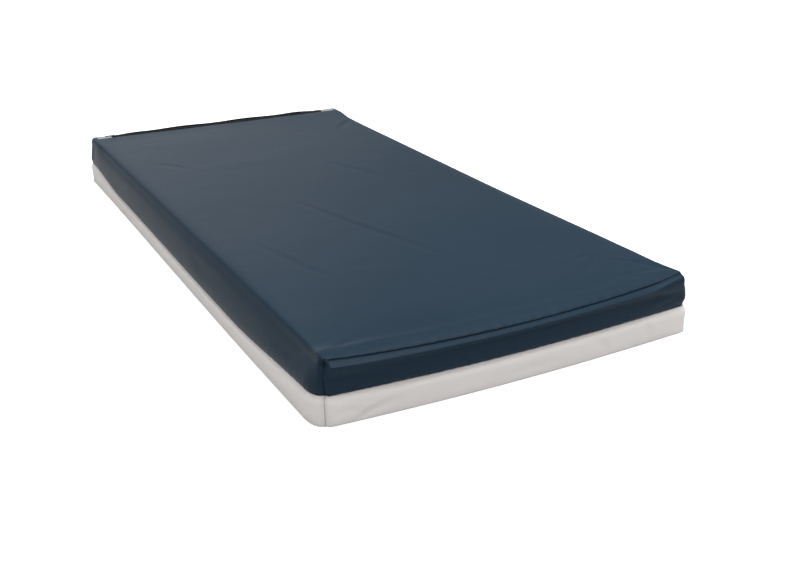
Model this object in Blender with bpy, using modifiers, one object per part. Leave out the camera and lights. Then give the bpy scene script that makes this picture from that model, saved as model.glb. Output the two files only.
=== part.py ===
"""Pressure relief mattress: a zipped two-colour cover over a fire barrier sock and a zoned foam core.

Frame: metres, +Z up. The origin is the middle of the underside. +Y runs to the head end, -Y to the
foot end, and +X is on the right of someone who stands at the foot end.

The cover is a thin shell, cut into the panels that are sewn together. Everything inside it is set in
from the cover's outside by the thicknesses and clearances that lie between.
"""

import math

import bmesh
import bpy
from mathutils import Matrix, Vector

# Overall sizes of the filled cover.
MATTRESS_WIDTH = 0.914
MATTRESS_LENGTH = 2.032
MATTRESS_HEIGHT = 0.152
CORNER_RADIUS = 0.030  # upright corners, seen from above
EDGE_RADIUS = 0.012  # top and bottom edges
CORNER_STEPS = 6
EDGE_STEPS = 4

# Cloth, and the clearances between neighbouring pieces.
CLOTH = 0.0010
SOCK_WALL = 0.0015
FIT = 0.0004
WAIST_HEIGHT = 0.068  # where the navy cover meets the grey base
BINDING_WALL = 0.0008
BINDING_WIDTH = 0.012
OVERSHOOT = 0.020  # how far a cutter runs past what it cuts

# Seam along the top of the foot end.
WELT_WIDTH = 0.0040
WELT_RISE = 0.0018  # above the top of the cover
WELT_EDGE = 0.0009

# Zip along the top of the head end.
ZIP_CORNER_MARGIN = 0.018  # from the mattress's side to the opening in the cover
END_PATCH_LENGTH = 0.048
TAPE_WIDTH = 0.0120
TAPE_WALL = 0.0008
COIL_WIDTH = 0.0026
COIL_HEIGHT = 0.0028
COIL_EDGE = 0.0007
COIL_PARTING = 0.0018  # between the two coils, where the slider's post runs
STOP_LENGTH = 0.0024
STOP_WIDTH = 0.0078
STOP_HEIGHT = 0.0040
STOP_EDGE = 0.0006

# Zip slider and its pull.
SLIDER_LENGTH = 0.0120
SLIDER_PLATE = 0.0010
SLIDER_FLANGE = 0.0014
SLIDER_CORNER = 0.0030
POST_WIDTH = 0.0010
POST_LENGTH = 0.0040
BAIL_LENGTH = 0.0070
BAIL_WIDTH = 0.0020
BAIL_WALL = 0.0012
BAIL_OPENING = 0.0026  # clear height under the bail
PULL_PIN_RADIUS = 0.0008
PULL_PIN_SIDES = 16
PULL_WIDTH = 0.0070
PULL_THICKNESS = 0.0012
PULL_LENGTH = 0.0300
PULL_CORNER = 0.0026
GRIP_SLOT_LENGTH = 0.0090
GRIP_SLOT_WIDTH = 0.0026
GRIP_SLOT_INSET = 0.0040

# Sock opening at the head end, and the care label inside the cover.
SOCK_RIM = 0.034  # width of the turned-in rim round the opening
ELASTIC_WIDTH = 0.006
LABEL_WIDTH = 0.070
LABEL_HEIGHT = 0.038
LABEL_WALL = 0.0005
LABEL_FLOOR = 0.018  # from the underside to the label

# Foam core.
BASE_FOAM_HEIGHT = 0.060
TOPPER_HEIGHT = 0.025
BOLSTER_WIDTH = 0.075
GROOVE_WIDTH = 0.004
CASTELLATION_WEB = 0.024  # uncut foam under the castellations
KERF_COUNT = 6
KERF_WIDTH = 0.003
KERF_DEPTH = 0.018
KERF_PITCH = 0.240

# Support zones from the head to the foot: name, length, cells across, cells along.
# The zone with no length takes up what the others leave.
ZONES = (
    ("zone_foam_head", 0.300, 6, 3),
    ("zone_foam_torso", None, 10, 7),
    ("zone_foam_pelvis", 0.400, 12, 7),
    ("zone_foam_thigh", 0.400, 8, 5),
    ("zone_foam_heel", 0.320, 14, 6),
)

# Colours (red, green, blue on the usual 0 to 255 display scale), roughness and metallic value.
FINISHES = {
    "cover_navy": ((58, 74, 90), 0.50, 0.0),
    "cover_grey": ((194, 191, 189), 0.60, 0.0),
    "patch_grey": ((188, 188, 186), 0.60, 0.0),
    "zip_black": ((20, 21, 24), 0.55, 0.0),
    "slider_black": ((28, 29, 32), 0.35, 0.8),
    "binding_navy": ((44, 58, 74), 0.70, 0.0),
    "label_white": ((232, 232, 228), 0.70, 0.0),
    "sock_white": ((226, 224, 216), 0.90, 0.0),
    "elastic_white": ((210, 208, 200), 0.80, 0.0),
    "foam_base": ((156, 166, 178), 0.95, 0.0),
    "foam_bolster": ((118, 140, 166), 0.95, 0.0),
    "foam_zone": ((226, 214, 178), 0.95, 0.0),
    "foam_visco": ((238, 232, 206), 0.95, 0.0),
}

# Places that follow from the sizes above.
HALF_WIDTH = MATTRESS_WIDTH / 2
HALF_LENGTH = MATTRESS_LENGTH / 2
SEAM_INSET = CORNER_RADIUS * (1 - math.cos(math.radians(45)))  # end seams halve the round corners
FOOT_SEAM = -HALF_LENGTH + SEAM_INSET
HEAD_SEAM = HALF_LENGTH - SEAM_INSET

CENTRE = (0, 0, MATTRESS_HEIGHT / 2)

COIL_OUTSIDE = COIL_PARTING / 2 + COIL_WIDTH
STRIP_HALF = COIL_OUTSIDE + FIT + TAPE_WIDTH
ZIP_Y = HEAD_SEAM - FIT - STRIP_HALF
ZIP_Z = MATTRESS_HEIGHT - CLOTH / 2
OPENING_LOW = ZIP_Y - STRIP_HALF - FIT
OPENING_END = HALF_WIDTH - ZIP_CORNER_MARGIN
PATCH_INSIDE = OPENING_END - FIT - END_PATCH_LENGTH
TAPE_END = PATCH_INSIDE - FIT
COIL_END = TAPE_END - STOP_LENGTH - FIT

CHANNEL_HALF = COIL_HEIGHT / 2 + FIT
SLIDER_HALF_HEIGHT = CHANNEL_HALF + SLIDER_PLATE
SLIDER_HALF_WIDTH = COIL_OUTSIDE + FIT + SLIDER_FLANGE
SLIDER_REST_X = -(COIL_END - SLIDER_LENGTH / 2)
PLATE_TOP = ZIP_Z + SLIDER_HALF_HEIGHT
PIN_Z = PLATE_TOP + BAIL_OPENING - FIT - PULL_PIN_RADIUS
PULL_WINDOW = math.hypot(BAIL_LENGTH / 2, PLATE_TOP + BAIL_OPENING + BAIL_WALL - PIN_Z) + FIT

SOCK_SIDE_INSET = CLOTH + FIT + BINDING_WALL + FIT
SOCK_FLOOR = CLOTH + FIT
SOCK_TOP = MATTRESS_HEIGHT - CLOTH - FIT
SOCK_ZIP_TOP = ZIP_Z - SLIDER_HALF_HEIGHT - FIT
CORE_SIDE_INSET = SOCK_SIDE_INSET + SOCK_WALL + FIT
CORE_FLOOR = SOCK_FLOOR + SOCK_WALL + FIT
CORE_TOP = SOCK_TOP - SOCK_WALL - FIT
CORE_ZIP_TOP = SOCK_ZIP_TOP - SOCK_WALL - FIT
CORE_HALF_WIDTH = HALF_WIDTH - CORE_SIDE_INSET
CORE_HALF_LENGTH = HALF_LENGTH - CORE_SIDE_INSET
BASE_FOAM_TOP = CORE_FLOOR + BASE_FOAM_HEIGHT
TOPPER_FLOOR = CORE_TOP - TOPPER_HEIGHT
ZONE_FLOOR = BASE_FOAM_TOP + FIT
ZONE_TOP = TOPPER_FLOOR - FIT
ZONE_HALF_WIDTH = CORE_HALF_WIDTH - BOLSTER_WIDTH - FIT


def clear_scene():
    """Removes every object, so that the script starts from nothing."""
    for old in list(bpy.data.objects):
        bpy.data.objects.remove(old, do_unlink=True)


def new_collection(name):
    """Makes a collection in the scene."""
    collection = bpy.data.collections.new(name)
    bpy.context.scene.collection.children.link(collection)
    return collection


def linear(channel):
    """Turns a display channel, 0 to 255, into the linear value that a shader takes."""
    share = channel / 255
    return share / 12.92 if share <= 0.04045 else ((share + 0.055) / 1.055) ** 2.4


def new_material(name):
    """Makes one finish as a Principled material."""
    colour, roughness, metallic = FINISHES[name]
    material = bpy.data.materials.new(name)
    material.use_nodes = True
    shader = material.node_tree.nodes["Principled BSDF"]
    shader.inputs["Base Color"].default_value = (*(linear(c) for c in colour), 1.0)
    shader.inputs["Roughness"].default_value = roughness
    shader.inputs["Metallic"].default_value = metallic
    return material


def place(name, shape, origin, collection, finish=None):
    """Turns a shape built in world coordinates into an object whose origin is at the given point."""
    bmesh.ops.translate(shape, vec=-Vector(origin), verts=shape.verts)
    mesh = bpy.data.meshes.new(name)
    shape.to_mesh(mesh)
    shape.free()
    made = bpy.data.objects.new(name, mesh)
    made.location = origin
    collection.objects.link(made)
    if finish:
        mesh.materials.append(new_material(finish))
    else:
        made.hide_render = True
        made.display_type = "WIRE"
    return made


def block_shape(low, high):
    """A box between two corners."""
    low, high = Vector(low), Vector(high)
    shape = bmesh.new()
    bmesh.ops.create_cube(shape, size=1.0)
    bmesh.ops.scale(shape, vec=high - low, verts=shape.verts)
    bmesh.ops.translate(shape, vec=(low + high) / 2, verts=shape.verts)
    return shape


def round_uprights(shape, radius, steps):
    """Rounds the upright corners of a box."""
    upright = [e for e in shape.edges if abs(e.verts[0].co.z - e.verts[1].co.z) > radius / 100]
    bmesh.ops.bevel(
        shape, geom=upright, offset=radius, segments=steps, profile=0.5, affect="EDGES"
    )


def round_rims(shape, radius, steps):
    """Rounds the edges round the top and the bottom of a box."""
    level = [e for e in shape.edges if abs(e.verts[0].co.z - e.verts[1].co.z) < radius / 100]
    bmesh.ops.bevel(
        shape, geom=level, offset=radius, segments=steps, profile=0.5, affect="EDGES"
    )


def middle(low, high):
    """The point halfway between two corners."""
    return (Vector(low) + Vector(high)) / 2


def shade(made, angle=40):
    """Shades an object smooth, apart from edges sharper than the angle in degrees."""
    made.data.shade_smooth()
    made.data.set_sharp_from_angle(angle=math.radians(angle))


def combine(target, tool, operation="DIFFERENCE"):
    """Adds a Boolean modifier."""
    modifier = target.modifiers.new(tool.name, "BOOLEAN")
    modifier.operation = operation
    modifier.solver = "EXACT"
    modifier.object = tool


def soften(target, width, steps=2):
    """Adds a Bevel modifier to all of a small piece's edges."""
    modifier = target.modifiers.new("soft_edges", "BEVEL")
    modifier.width = width
    modifier.segments = steps
    modifier.limit_method = "ANGLE"


def repeat(target, count, step):
    """Adds an Array modifier with a fixed step between copies."""
    modifier = target.modifiers.new("row", "ARRAY")
    modifier.count = count
    modifier.use_relative_offset = False
    modifier.use_constant_offset = True
    modifier.constant_offset_displace = step


def mattress_body(side_inset, floor, top, edge_radius):
    """The mattress's rounded outer form, set in at its sides, with its underside and top at given heights."""
    low = (-HALF_WIDTH + side_inset, -HALF_LENGTH + side_inset, floor)
    high = (HALF_WIDTH - side_inset, HALF_LENGTH - side_inset, top)
    shape = block_shape(low, high)
    round_uprights(shape, CORNER_RADIUS - side_inset, CORNER_STEPS)
    if edge_radius > 0:
        round_rims(shape, edge_radius, EDGE_STEPS)
    return shape


class Mattress:
    """Builds the pieces into one collection and their cutters into another."""

    def __init__(self):
        self.parts = new_collection("pressure_relief_mattress")
        self.cutters = new_collection("cutters")
        inside = mattress_body(CLOTH, CLOTH, MATTRESS_HEIGHT - CLOTH, EDGE_RADIUS - CLOTH)
        self.cover_inside = place("cover_inside", inside, CENTRE, self.cutters)
        self.core = self.stepped_body(
            "core_outline", CORE_SIDE_INSET, CORE_FLOOR, CORE_TOP, CORE_ZIP_TOP, SOCK_WALL + 2 * FIT
        )

    def part(self, name, low, high, finish, origin=None):
        """A box as a named piece."""
        centre = middle(low, high) if origin is None else origin
        return place(name, block_shape(low, high), centre, self.parts, finish)

    def cutter(self, name, low, high):
        """A box that only cuts or joins."""
        return place(name, block_shape(low, high), middle(low, high), self.cutters)

    def step_cutter(self, name, top, extra):
        """The box over the strip where the zip slider needs room."""
        low = (-MATTRESS_WIDTH, OPENING_LOW - FIT - extra, top)
        high = (MATTRESS_WIDTH, HALF_LENGTH + OVERSHOOT, MATTRESS_HEIGHT + OVERSHOOT)
        return self.cutter(name, low, high)

    def stepped_body(self, name, side_inset, floor, top, zip_top, extra):
        """A cutter with the mattress's form and a step down under the zip."""
        shape = mattress_body(side_inset, floor, top, EDGE_RADIUS - side_inset)
        made = place(name, shape, CENTRE, self.cutters)
        combine(made, self.step_cutter(name + "_step", zip_top, extra))
        return made

    # Cover

    def cover_panel(self, name, low, high, finish):
        """The stretch of the cover's shell that lies between two corners."""
        shape = mattress_body(0, 0, MATTRESS_HEIGHT, EDGE_RADIUS)
        panel = place(name, shape, CENTRE, self.parts, finish)
        combine(panel, self.cover_inside)
        combine(panel, self.cutter(name + "_extent", low, high), "INTERSECT")
        shade(panel)
        return panel

    def cover(self):
        """Navy and grey wraps with their end panels, joined at the waist."""
        side = HALF_WIDTH + OVERSHOOT
        ends = (
            ("foot", -HALF_LENGTH - OVERSHOOT, FOOT_SEAM - FIT / 2),
            ("head", HEAD_SEAM + FIT / 2, HALF_LENGTH + OVERSHOOT),
        )
        upper = (WAIST_HEIGHT + FIT / 2, MATTRESS_HEIGHT + OVERSHOOT)
        lower = (-OVERSHOOT, WAIST_HEIGHT - FIT / 2)
        wrap = (FOOT_SEAM + FIT / 2, HEAD_SEAM - FIT / 2)
        top = self.cover_panel(
            "top_wrap_panel", (-side, wrap[0], upper[0]), (side, wrap[1], upper[1]), "cover_navy"
        )
        self.cover_panel(
            "base_wrap_panel", (-side, wrap[0], lower[0]), (side, wrap[1], lower[1]), "cover_grey"
        )
        for end, near, far in ends:
            self.cover_panel(
                f"{end}_end_panel", (-side, near, upper[0]), (side, far, upper[1]), "cover_navy"
            )
            self.cover_panel(
                f"base_{end}_panel", (-side, near, lower[0]), (side, far, lower[1]), "cover_grey"
            )
        opening = self.cutter(
            "zip_opening",
            (-OPENING_END, OPENING_LOW, MATTRESS_HEIGHT - EDGE_RADIUS),
            (OPENING_END, HALF_LENGTH, MATTRESS_HEIGHT + OVERSHOOT),
        )
        combine(top, opening)
        self.foot_welt(top)

    def foot_welt(self, top):
        """The ridge that the foot seam's folded edges make, in a slot at the end of the top panel."""
        end = HALF_WIDTH - CORNER_RADIUS
        near = FOOT_SEAM + FIT / 2
        floor = MATTRESS_HEIGHT - CLOTH
        slot = self.cutter(
            "welt_slot",
            (-end - FIT, near - OVERSHOOT, floor - FIT),
            (end + FIT, near + WELT_WIDTH + FIT, MATTRESS_HEIGHT + OVERSHOOT),
        )
        combine(top, slot)
        welt = self.part(
            "foot_seam_welt",
            (-end, near, floor),
            (end, near + WELT_WIDTH, MATTRESS_HEIGHT + WELT_RISE),
            "binding_navy",
        )
        soften(welt, WELT_EDGE)

    def waist_binding(self):
        """The band inside the cover that the two borders and their raw edges are sewn to."""
        half = BINDING_WIDTH / 2
        outer = mattress_body(CLOTH + FIT, WAIST_HEIGHT - half, WAIST_HEIGHT + half, 0)
        band = place(
            "waist_seam_binding", outer, (0, 0, WAIST_HEIGHT), self.parts, "binding_navy"
        )
        inner = mattress_body(
            CLOTH + FIT + BINDING_WALL,
            WAIST_HEIGHT - half - OVERSHOOT,
            WAIST_HEIGHT + half + OVERSHOOT,
            0,
        )
        combine(band, place("binding_inside", inner, (0, 0, WAIST_HEIGHT), self.cutters))
        shade(band)

    def care_label(self):
        """A blank label on the inner face of the grey head panel."""
        far = HALF_LENGTH - CLOTH - FIT
        self.part(
            "care_label",
            (-LABEL_WIDTH / 2, far - LABEL_WALL, LABEL_FLOOR),
            (LABEL_WIDTH / 2, far, LABEL_FLOOR + LABEL_HEIGHT),
            "label_white",
        )

    # Zip

    def zip_strip(self):
        """Tapes, coils, end stops and the two grey patches that close the opening's ends."""
        for side, sign in (("top", -1), ("head", 1)):
            tape = sorted((ZIP_Y + sign * (COIL_OUTSIDE + FIT), ZIP_Y + sign * STRIP_HALF))
            self.part(
                f"zip_tape_{side}",
                (-TAPE_END, tape[0], ZIP_Z - TAPE_WALL / 2),
                (TAPE_END, tape[1], ZIP_Z + TAPE_WALL / 2),
                "zip_black",
            )
            coil = sorted((ZIP_Y + sign * COIL_PARTING / 2, ZIP_Y + sign * COIL_OUTSIDE))
            bar = self.part(
                f"zip_coil_{side}",
                (-COIL_END, coil[0], ZIP_Z - COIL_HEIGHT / 2),
                (COIL_END, coil[1], ZIP_Z + COIL_HEIGHT / 2),
                "zip_black",
            )
            soften(bar, COIL_EDGE)
        for side, sign in (("left", -1), ("right", 1)):
            stop = sorted((sign * (TAPE_END - STOP_LENGTH), sign * TAPE_END))
            body = self.part(
                f"zip_stop_{side}",
                (stop[0], ZIP_Y - COIL_OUTSIDE + FIT, ZIP_Z - STOP_HEIGHT / 2),
                (stop[1], ZIP_Y + COIL_OUTSIDE - FIT, ZIP_Z + STOP_HEIGHT / 2),
                "slider_black",
            )
            soften(body, STOP_EDGE)
            patch = sorted((sign * PATCH_INSIDE, sign * (OPENING_END - FIT)))
            self.part(
                f"zip_end_patch_{side}",
                (patch[0], OPENING_LOW + FIT, MATTRESS_HEIGHT - CLOTH),
                (patch[1], ZIP_Y + STRIP_HALF, MATTRESS_HEIGHT),
                "patch_grey",
            )

    def zip_slider(self):
        """The slider: two plates and their flanges round the coils, a post between them and a bail.

        It is parked at the -X end, with the zip closed, and runs along +X to the other stop.
        """
        centre = Vector((SLIDER_REST_X, ZIP_Y, ZIP_Z))
        half = Vector((SLIDER_LENGTH / 2, SLIDER_HALF_WIDTH, SLIDER_HALF_HEIGHT))
        shape = block_shape(centre - half, centre + half)
        round_uprights(shape, SLIDER_CORNER, CORNER_STEPS)
        slider = place("zip_slider", shape, centre, self.parts, "slider_black")
        reach = SLIDER_LENGTH
        channel_side = COIL_OUTSIDE + FIT
        post_near = centre.x + half.x - POST_LENGTH - FIT
        slot_half = TAPE_WALL / 2 + FIT
        for side, sign in (("top", -1), ("head", 1)):
            sides = sorted((sign * POST_WIDTH / 2, sign * channel_side))
            channel = self.cutter(
                f"slider_{side}_channel",
                (centre.x - reach, ZIP_Y + sides[0], ZIP_Z - CHANNEL_HALF),
                (centre.x + reach, ZIP_Y + sides[1], ZIP_Z + CHANNEL_HALF),
            )
            combine(slider, channel)
            sides = sorted((sign * (channel_side - FIT), sign * (channel_side + reach)))
            tape_slot = self.cutter(
                f"slider_{side}_tape_slot",
                (centre.x - reach, ZIP_Y + sides[0], ZIP_Z - slot_half),
                (centre.x + reach, ZIP_Y + sides[1], ZIP_Z + slot_half),
            )
            combine(slider, tape_slot)
        behind_post = self.cutter(
            "slider_throat",
            (centre.x - reach, ZIP_Y - POST_WIDTH, ZIP_Z - CHANNEL_HALF),
            (post_near, ZIP_Y + POST_WIDTH, ZIP_Z + CHANNEL_HALF),
        )
        combine(slider, behind_post)
        combine(slider, self.bail(centre), "UNION")
        self.zip_pull(slider)

    def bail(self, centre):
        """The arch on the slider that holds the pull."""
        arch = self.cutter(
            "slider_bail",
            (centre.x - BAIL_LENGTH / 2, ZIP_Y - BAIL_WIDTH / 2, PLATE_TOP - SLIDER_PLATE / 2),
            (
                centre.x + BAIL_LENGTH / 2,
                ZIP_Y + BAIL_WIDTH / 2,
                PLATE_TOP + BAIL_OPENING + BAIL_WALL,
            ),
        )
        under = self.cutter(
            "bail_opening",
            (centre.x - BAIL_LENGTH / 2 + BAIL_WALL, ZIP_Y - BAIL_WIDTH, PLATE_TOP),
            (
                centre.x + BAIL_LENGTH / 2 - BAIL_WALL,
                ZIP_Y + BAIL_WIDTH,
                PLATE_TOP + BAIL_OPENING,
            ),
        )
        combine(arch, under)
        return arch

    def zip_pull(self, slider):
        """The tab that turns about a pin under the slider's bail. It lies towards -X at rest."""
        axis = Vector((SLIDER_REST_X, ZIP_Y, PIN_Z))
        half_width = PULL_WIDTH / 2
        half_wall = PULL_THICKNESS / 2
        shape = block_shape(
            axis + Vector((-PULL_LENGTH, -half_width, -half_wall)),
            axis + Vector((0, half_width, half_wall)),
        )
        tip = [
            e
            for e in shape.edges
            if abs(e.verts[0].co.z - e.verts[1].co.z) > half_wall
            and e.verts[0].co.x < axis.x - half_wall
        ]
        bmesh.ops.bevel(
            shape, geom=tip, offset=PULL_CORNER, segments=CORNER_STEPS, profile=0.5, affect="EDGES"
        )
        pull = place("zip_pull", shape, axis, self.parts, "slider_black")
        gap = BAIL_WIDTH / 2 + FIT
        window = self.cutter(
            "pull_window",
            axis + Vector((-PULL_WINDOW, -gap, -PULL_WIDTH)),
            axis + Vector((PULL_WINDOW, gap, PULL_WIDTH)),
        )
        combine(pull, window)
        slot_end = PULL_LENGTH - GRIP_SLOT_INSET
        grip = self.cutter(
            "pull_grip_slot",
            axis + Vector((-slot_end, -GRIP_SLOT_WIDTH / 2, -PULL_WIDTH)),
            axis + Vector((-slot_end + GRIP_SLOT_LENGTH, GRIP_SLOT_WIDTH / 2, PULL_WIDTH)),
        )
        combine(pull, grip)
        pin = bmesh.new()
        bmesh.ops.create_cone(
            pin,
            cap_ends=True,
            segments=PULL_PIN_SIDES,
            radius1=PULL_PIN_RADIUS,
            radius2=PULL_PIN_RADIUS,
            depth=PULL_WIDTH,
            matrix=Matrix.Translation(axis) @ Matrix.Rotation(math.pi / 2, 4, "X"),
        )
        combine(pull, place("pull_pin", pin, axis, self.cutters), "UNION")
        pull.parent = slider
        pull.location = axis - slider.location

    # Sock

    def fire_barrier_sock(self):
        """The knitted sock round the foam, open in a window at the head end."""
        outer = mattress_body(
            SOCK_SIDE_INSET, SOCK_FLOOR, SOCK_TOP, EDGE_RADIUS - SOCK_SIDE_INSET
        )
        sock = place("fire_barrier_sock", outer, CENTRE, self.parts, "sock_white")
        combine(sock, self.step_cutter("sock_step", SOCK_ZIP_TOP, FIT))
        wall = SOCK_WALL
        inside = self.stepped_body(
            "sock_inside",
            SOCK_SIDE_INSET + wall,
            SOCK_FLOOR + wall,
            SOCK_TOP - wall,
            SOCK_ZIP_TOP - wall,
            wall + FIT,
        )
        combine(sock, inside)
        half = HALF_WIDTH - SOCK_SIDE_INSET - SOCK_RIM
        floor, top = SOCK_FLOOR + SOCK_RIM, SOCK_ZIP_TOP - SOCK_RIM
        far = HALF_LENGTH - SOCK_SIDE_INSET
        window = self.cutter(
            "sock_window", (-half, far - wall * 2, floor), (half, far + OVERSHOOT, top)
        )
        combine(sock, window)
        shade(sock)
        elastic = self.part(
            "sock_hem_elastic",
            (-half + FIT, far - wall, floor + FIT),
            (half - FIT, far, top - FIT),
            "elastic_white",
        )
        inner = ELASTIC_WIDTH + FIT
        hole = self.cutter(
            "elastic_opening",
            (-half + inner, far - wall - OVERSHOOT, floor + inner),
            (half - inner, far + OVERSHOOT, top - inner),
        )
        combine(elastic, hole)

    # Foam core

    def foam(self, name, low, high, finish):
        """A foam block, trimmed to the core's rounded outline."""
        made = self.part(name, low, high, finish)
        combine(made, self.core, "INTERSECT")
        shade(made)
        return made

    def base_foam(self):
        """The firm slab under everything, with cuts across its underside so that it bends with a bed."""
        slab = self.foam(
            "base_foam_slab",
            (-HALF_WIDTH, -HALF_LENGTH, -OVERSHOOT),
            (HALF_WIDTH, HALF_LENGTH, BASE_FOAM_TOP),
            "foam_base",
        )
        start = -KERF_PITCH * (KERF_COUNT - 1) / 2
        kerf = self.cutter(
            "base_kerf",
            (-MATTRESS_WIDTH, start - KERF_WIDTH / 2, CORE_FLOOR - OVERSHOOT),
            (MATTRESS_WIDTH, start + KERF_WIDTH / 2, CORE_FLOOR + KERF_DEPTH),
        )
        repeat(kerf, KERF_COUNT, (0, KERF_PITCH, 0))
        combine(slab, kerf)

    def bolsters(self):
        """The firm side walls of the core."""
        for side, sign in (("left", -1), ("right", 1)):
            across = sorted((sign * HALF_WIDTH, sign * (ZONE_HALF_WIDTH + FIT)))
            self.foam(
                f"side_bolster_{side}",
                (across[0], -HALF_LENGTH, ZONE_FLOOR),
                (across[1], HALF_LENGTH, ZONE_TOP),
                "foam_bolster",
            )

    def support_zones(self):
        """The castellated blocks between the bolsters, from the head to the foot."""
        given = sum(length for _, length, _, _ in ZONES if length)
        gaps = FIT * (len(ZONES) - 1)
        spare = 2 * CORE_HALF_LENGTH - given - gaps
        head_side = CORE_HALF_LENGTH
        for name, length, across, along in ZONES:
            length = length or spare
            self.support_zone(name, head_side - length, head_side, across, along)
            head_side -= length + FIT

    def support_zone(self, name, foot_side, head_side, across, along):
        """One zone, cut by two sets of grooves into cells that stand on an uncut web."""
        zone = self.part(
            name,
            (-ZONE_HALF_WIDTH, foot_side, ZONE_FLOOR),
            (ZONE_HALF_WIDTH, head_side, ZONE_TOP),
            "foam_zone",
        )
        groove_floor = ZONE_FLOOR + CASTELLATION_WEB
        over = ZONE_TOP + OVERSHOOT
        half = GROOVE_WIDTH / 2
        pitch_x = 2 * ZONE_HALF_WIDTH / across
        pitch_y = (head_side - foot_side) / along
        first_x = -ZONE_HALF_WIDTH + pitch_x
        lengthwise = self.cutter(
            f"{name}_lengthwise_groove",
            (first_x - half, foot_side - OVERSHOOT, groove_floor),
            (first_x + half, head_side + OVERSHOOT, over),
        )
        repeat(lengthwise, across - 1, (pitch_x, 0, 0))
        first_y = foot_side + pitch_y
        crosswise = self.cutter(
            f"{name}_crosswise_groove",
            (-ZONE_HALF_WIDTH - OVERSHOOT, first_y - half, groove_floor),
            (ZONE_HALF_WIDTH + OVERSHOOT, first_y + half, over),
        )
        repeat(crosswise, along - 1, (0, pitch_y, 0))
        combine(zone, lengthwise)
        combine(zone, crosswise)

    def topper(self):
        """The slow-recovery layer that lies over the zones and the bolsters."""
        self.foam(
            "visco_topper",
            (-HALF_WIDTH, -HALF_LENGTH, TOPPER_FLOOR),
            (HALF_WIDTH, HALF_LENGTH, MATTRESS_HEIGHT + OVERSHOOT),
            "foam_visco",
        )

    def build(self):
        """Makes every piece."""
        self.cover()
        self.waist_binding()
        self.care_label()
        self.zip_strip()
        self.zip_slider()
        self.fire_barrier_sock()
        self.base_foam()
        self.bolsters()
        self.support_zones()
        self.topper()


clear_scene()
Mattress().build()
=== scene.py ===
"""Looks of a pressure relief mattress: sewn two-colour cover, zip, fire barrier sock and foam core.

Frame: metres, +Z up, +Y to the head end, the origin in the middle of the underside. Sizes and places
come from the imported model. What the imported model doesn't hold is a field of the class that needs it.
"""

from __future__ import annotations

import logging
import math
from dataclasses import dataclass, field
from enum import Enum
from typing import Any, Callable, Iterable, Sequence, Union

import bmesh
import bpy
import numpy as np
from mathutils import Matrix, Vector


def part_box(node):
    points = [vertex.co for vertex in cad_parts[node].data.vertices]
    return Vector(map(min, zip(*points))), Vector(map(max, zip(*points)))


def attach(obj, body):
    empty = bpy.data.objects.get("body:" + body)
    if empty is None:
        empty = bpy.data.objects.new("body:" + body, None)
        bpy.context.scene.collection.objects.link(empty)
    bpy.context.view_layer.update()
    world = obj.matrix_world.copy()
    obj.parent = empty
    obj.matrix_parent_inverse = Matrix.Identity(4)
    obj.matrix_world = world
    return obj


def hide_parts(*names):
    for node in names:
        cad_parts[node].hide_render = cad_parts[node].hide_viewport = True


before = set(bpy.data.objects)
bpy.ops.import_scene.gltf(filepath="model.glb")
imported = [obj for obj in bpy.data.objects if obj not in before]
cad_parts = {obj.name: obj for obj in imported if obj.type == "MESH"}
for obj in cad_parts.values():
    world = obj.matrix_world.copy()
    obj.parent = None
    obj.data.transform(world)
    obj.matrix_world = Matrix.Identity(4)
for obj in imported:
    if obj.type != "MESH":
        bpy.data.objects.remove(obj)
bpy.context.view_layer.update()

LOG = logging.getLogger("mattress")
FULL_TURN = 2 * math.pi
MERGE = 1e-5
CUT_CHART = "cut"
# The mark of painted shade along the seams, which the cloth's colour reads.
SEAM_SHADE_MARK = "seam_painted_shade"

Array = np.ndarray
Band = tuple[float, float]
Colour = tuple[float, float, float]
Place = tuple[float, float, float]


class Body(Enum):
    """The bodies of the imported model."""

    MATTRESS = "mattress"
    SLIDER = "slider"
    PULL = "pull"


class Slot(Enum):
    """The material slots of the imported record."""

    COVER_NAVY = "cover_navy"
    COVER_GREY = "cover_grey"
    PATCH_GREY = "patch_grey"
    ZIP_BLACK = "zip_black"
    SLIDER_BLACK = "slider_black"
    BINDING_NAVY = "binding_navy"
    LABEL_WHITE = "label_white"
    SOCK_WHITE = "sock_white"
    ELASTIC_WHITE = "elastic_white"
    FOAM_BASE = "foam_base"
    FOAM_BOLSTER = "foam_bolster"
    FOAM_ZONE = "foam_zone"
    FOAM_VISCO = "foam_visco"


class Panel(Enum):
    """The panels that the cover is sewn from, and the opening that the zip fills."""

    TOP_WRAP = 0
    FOOT_END = 1
    HEAD_END = 2
    BASE_WRAP = 3
    BASE_FOOT = 4
    BASE_HEAD = 5
    OPENING = 6


class ZipSide(Enum):
    """The two halves of the zip, by the panel that each is sewn to."""

    TOP = "top"
    HEAD = "head"


class ZipEnd(Enum):
    """The two ends of the zip."""

    LEFT = "left"
    RIGHT = "right"


PANEL_NODES = {
    Panel.TOP_WRAP: "top_wrap_panel",
    Panel.FOOT_END: "foot_end_panel",
    Panel.HEAD_END: "head_end_panel",
    Panel.BASE_WRAP: "base_wrap_panel",
    Panel.BASE_FOOT: "base_foot_panel",
    Panel.BASE_HEAD: "base_head_panel",
}


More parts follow.
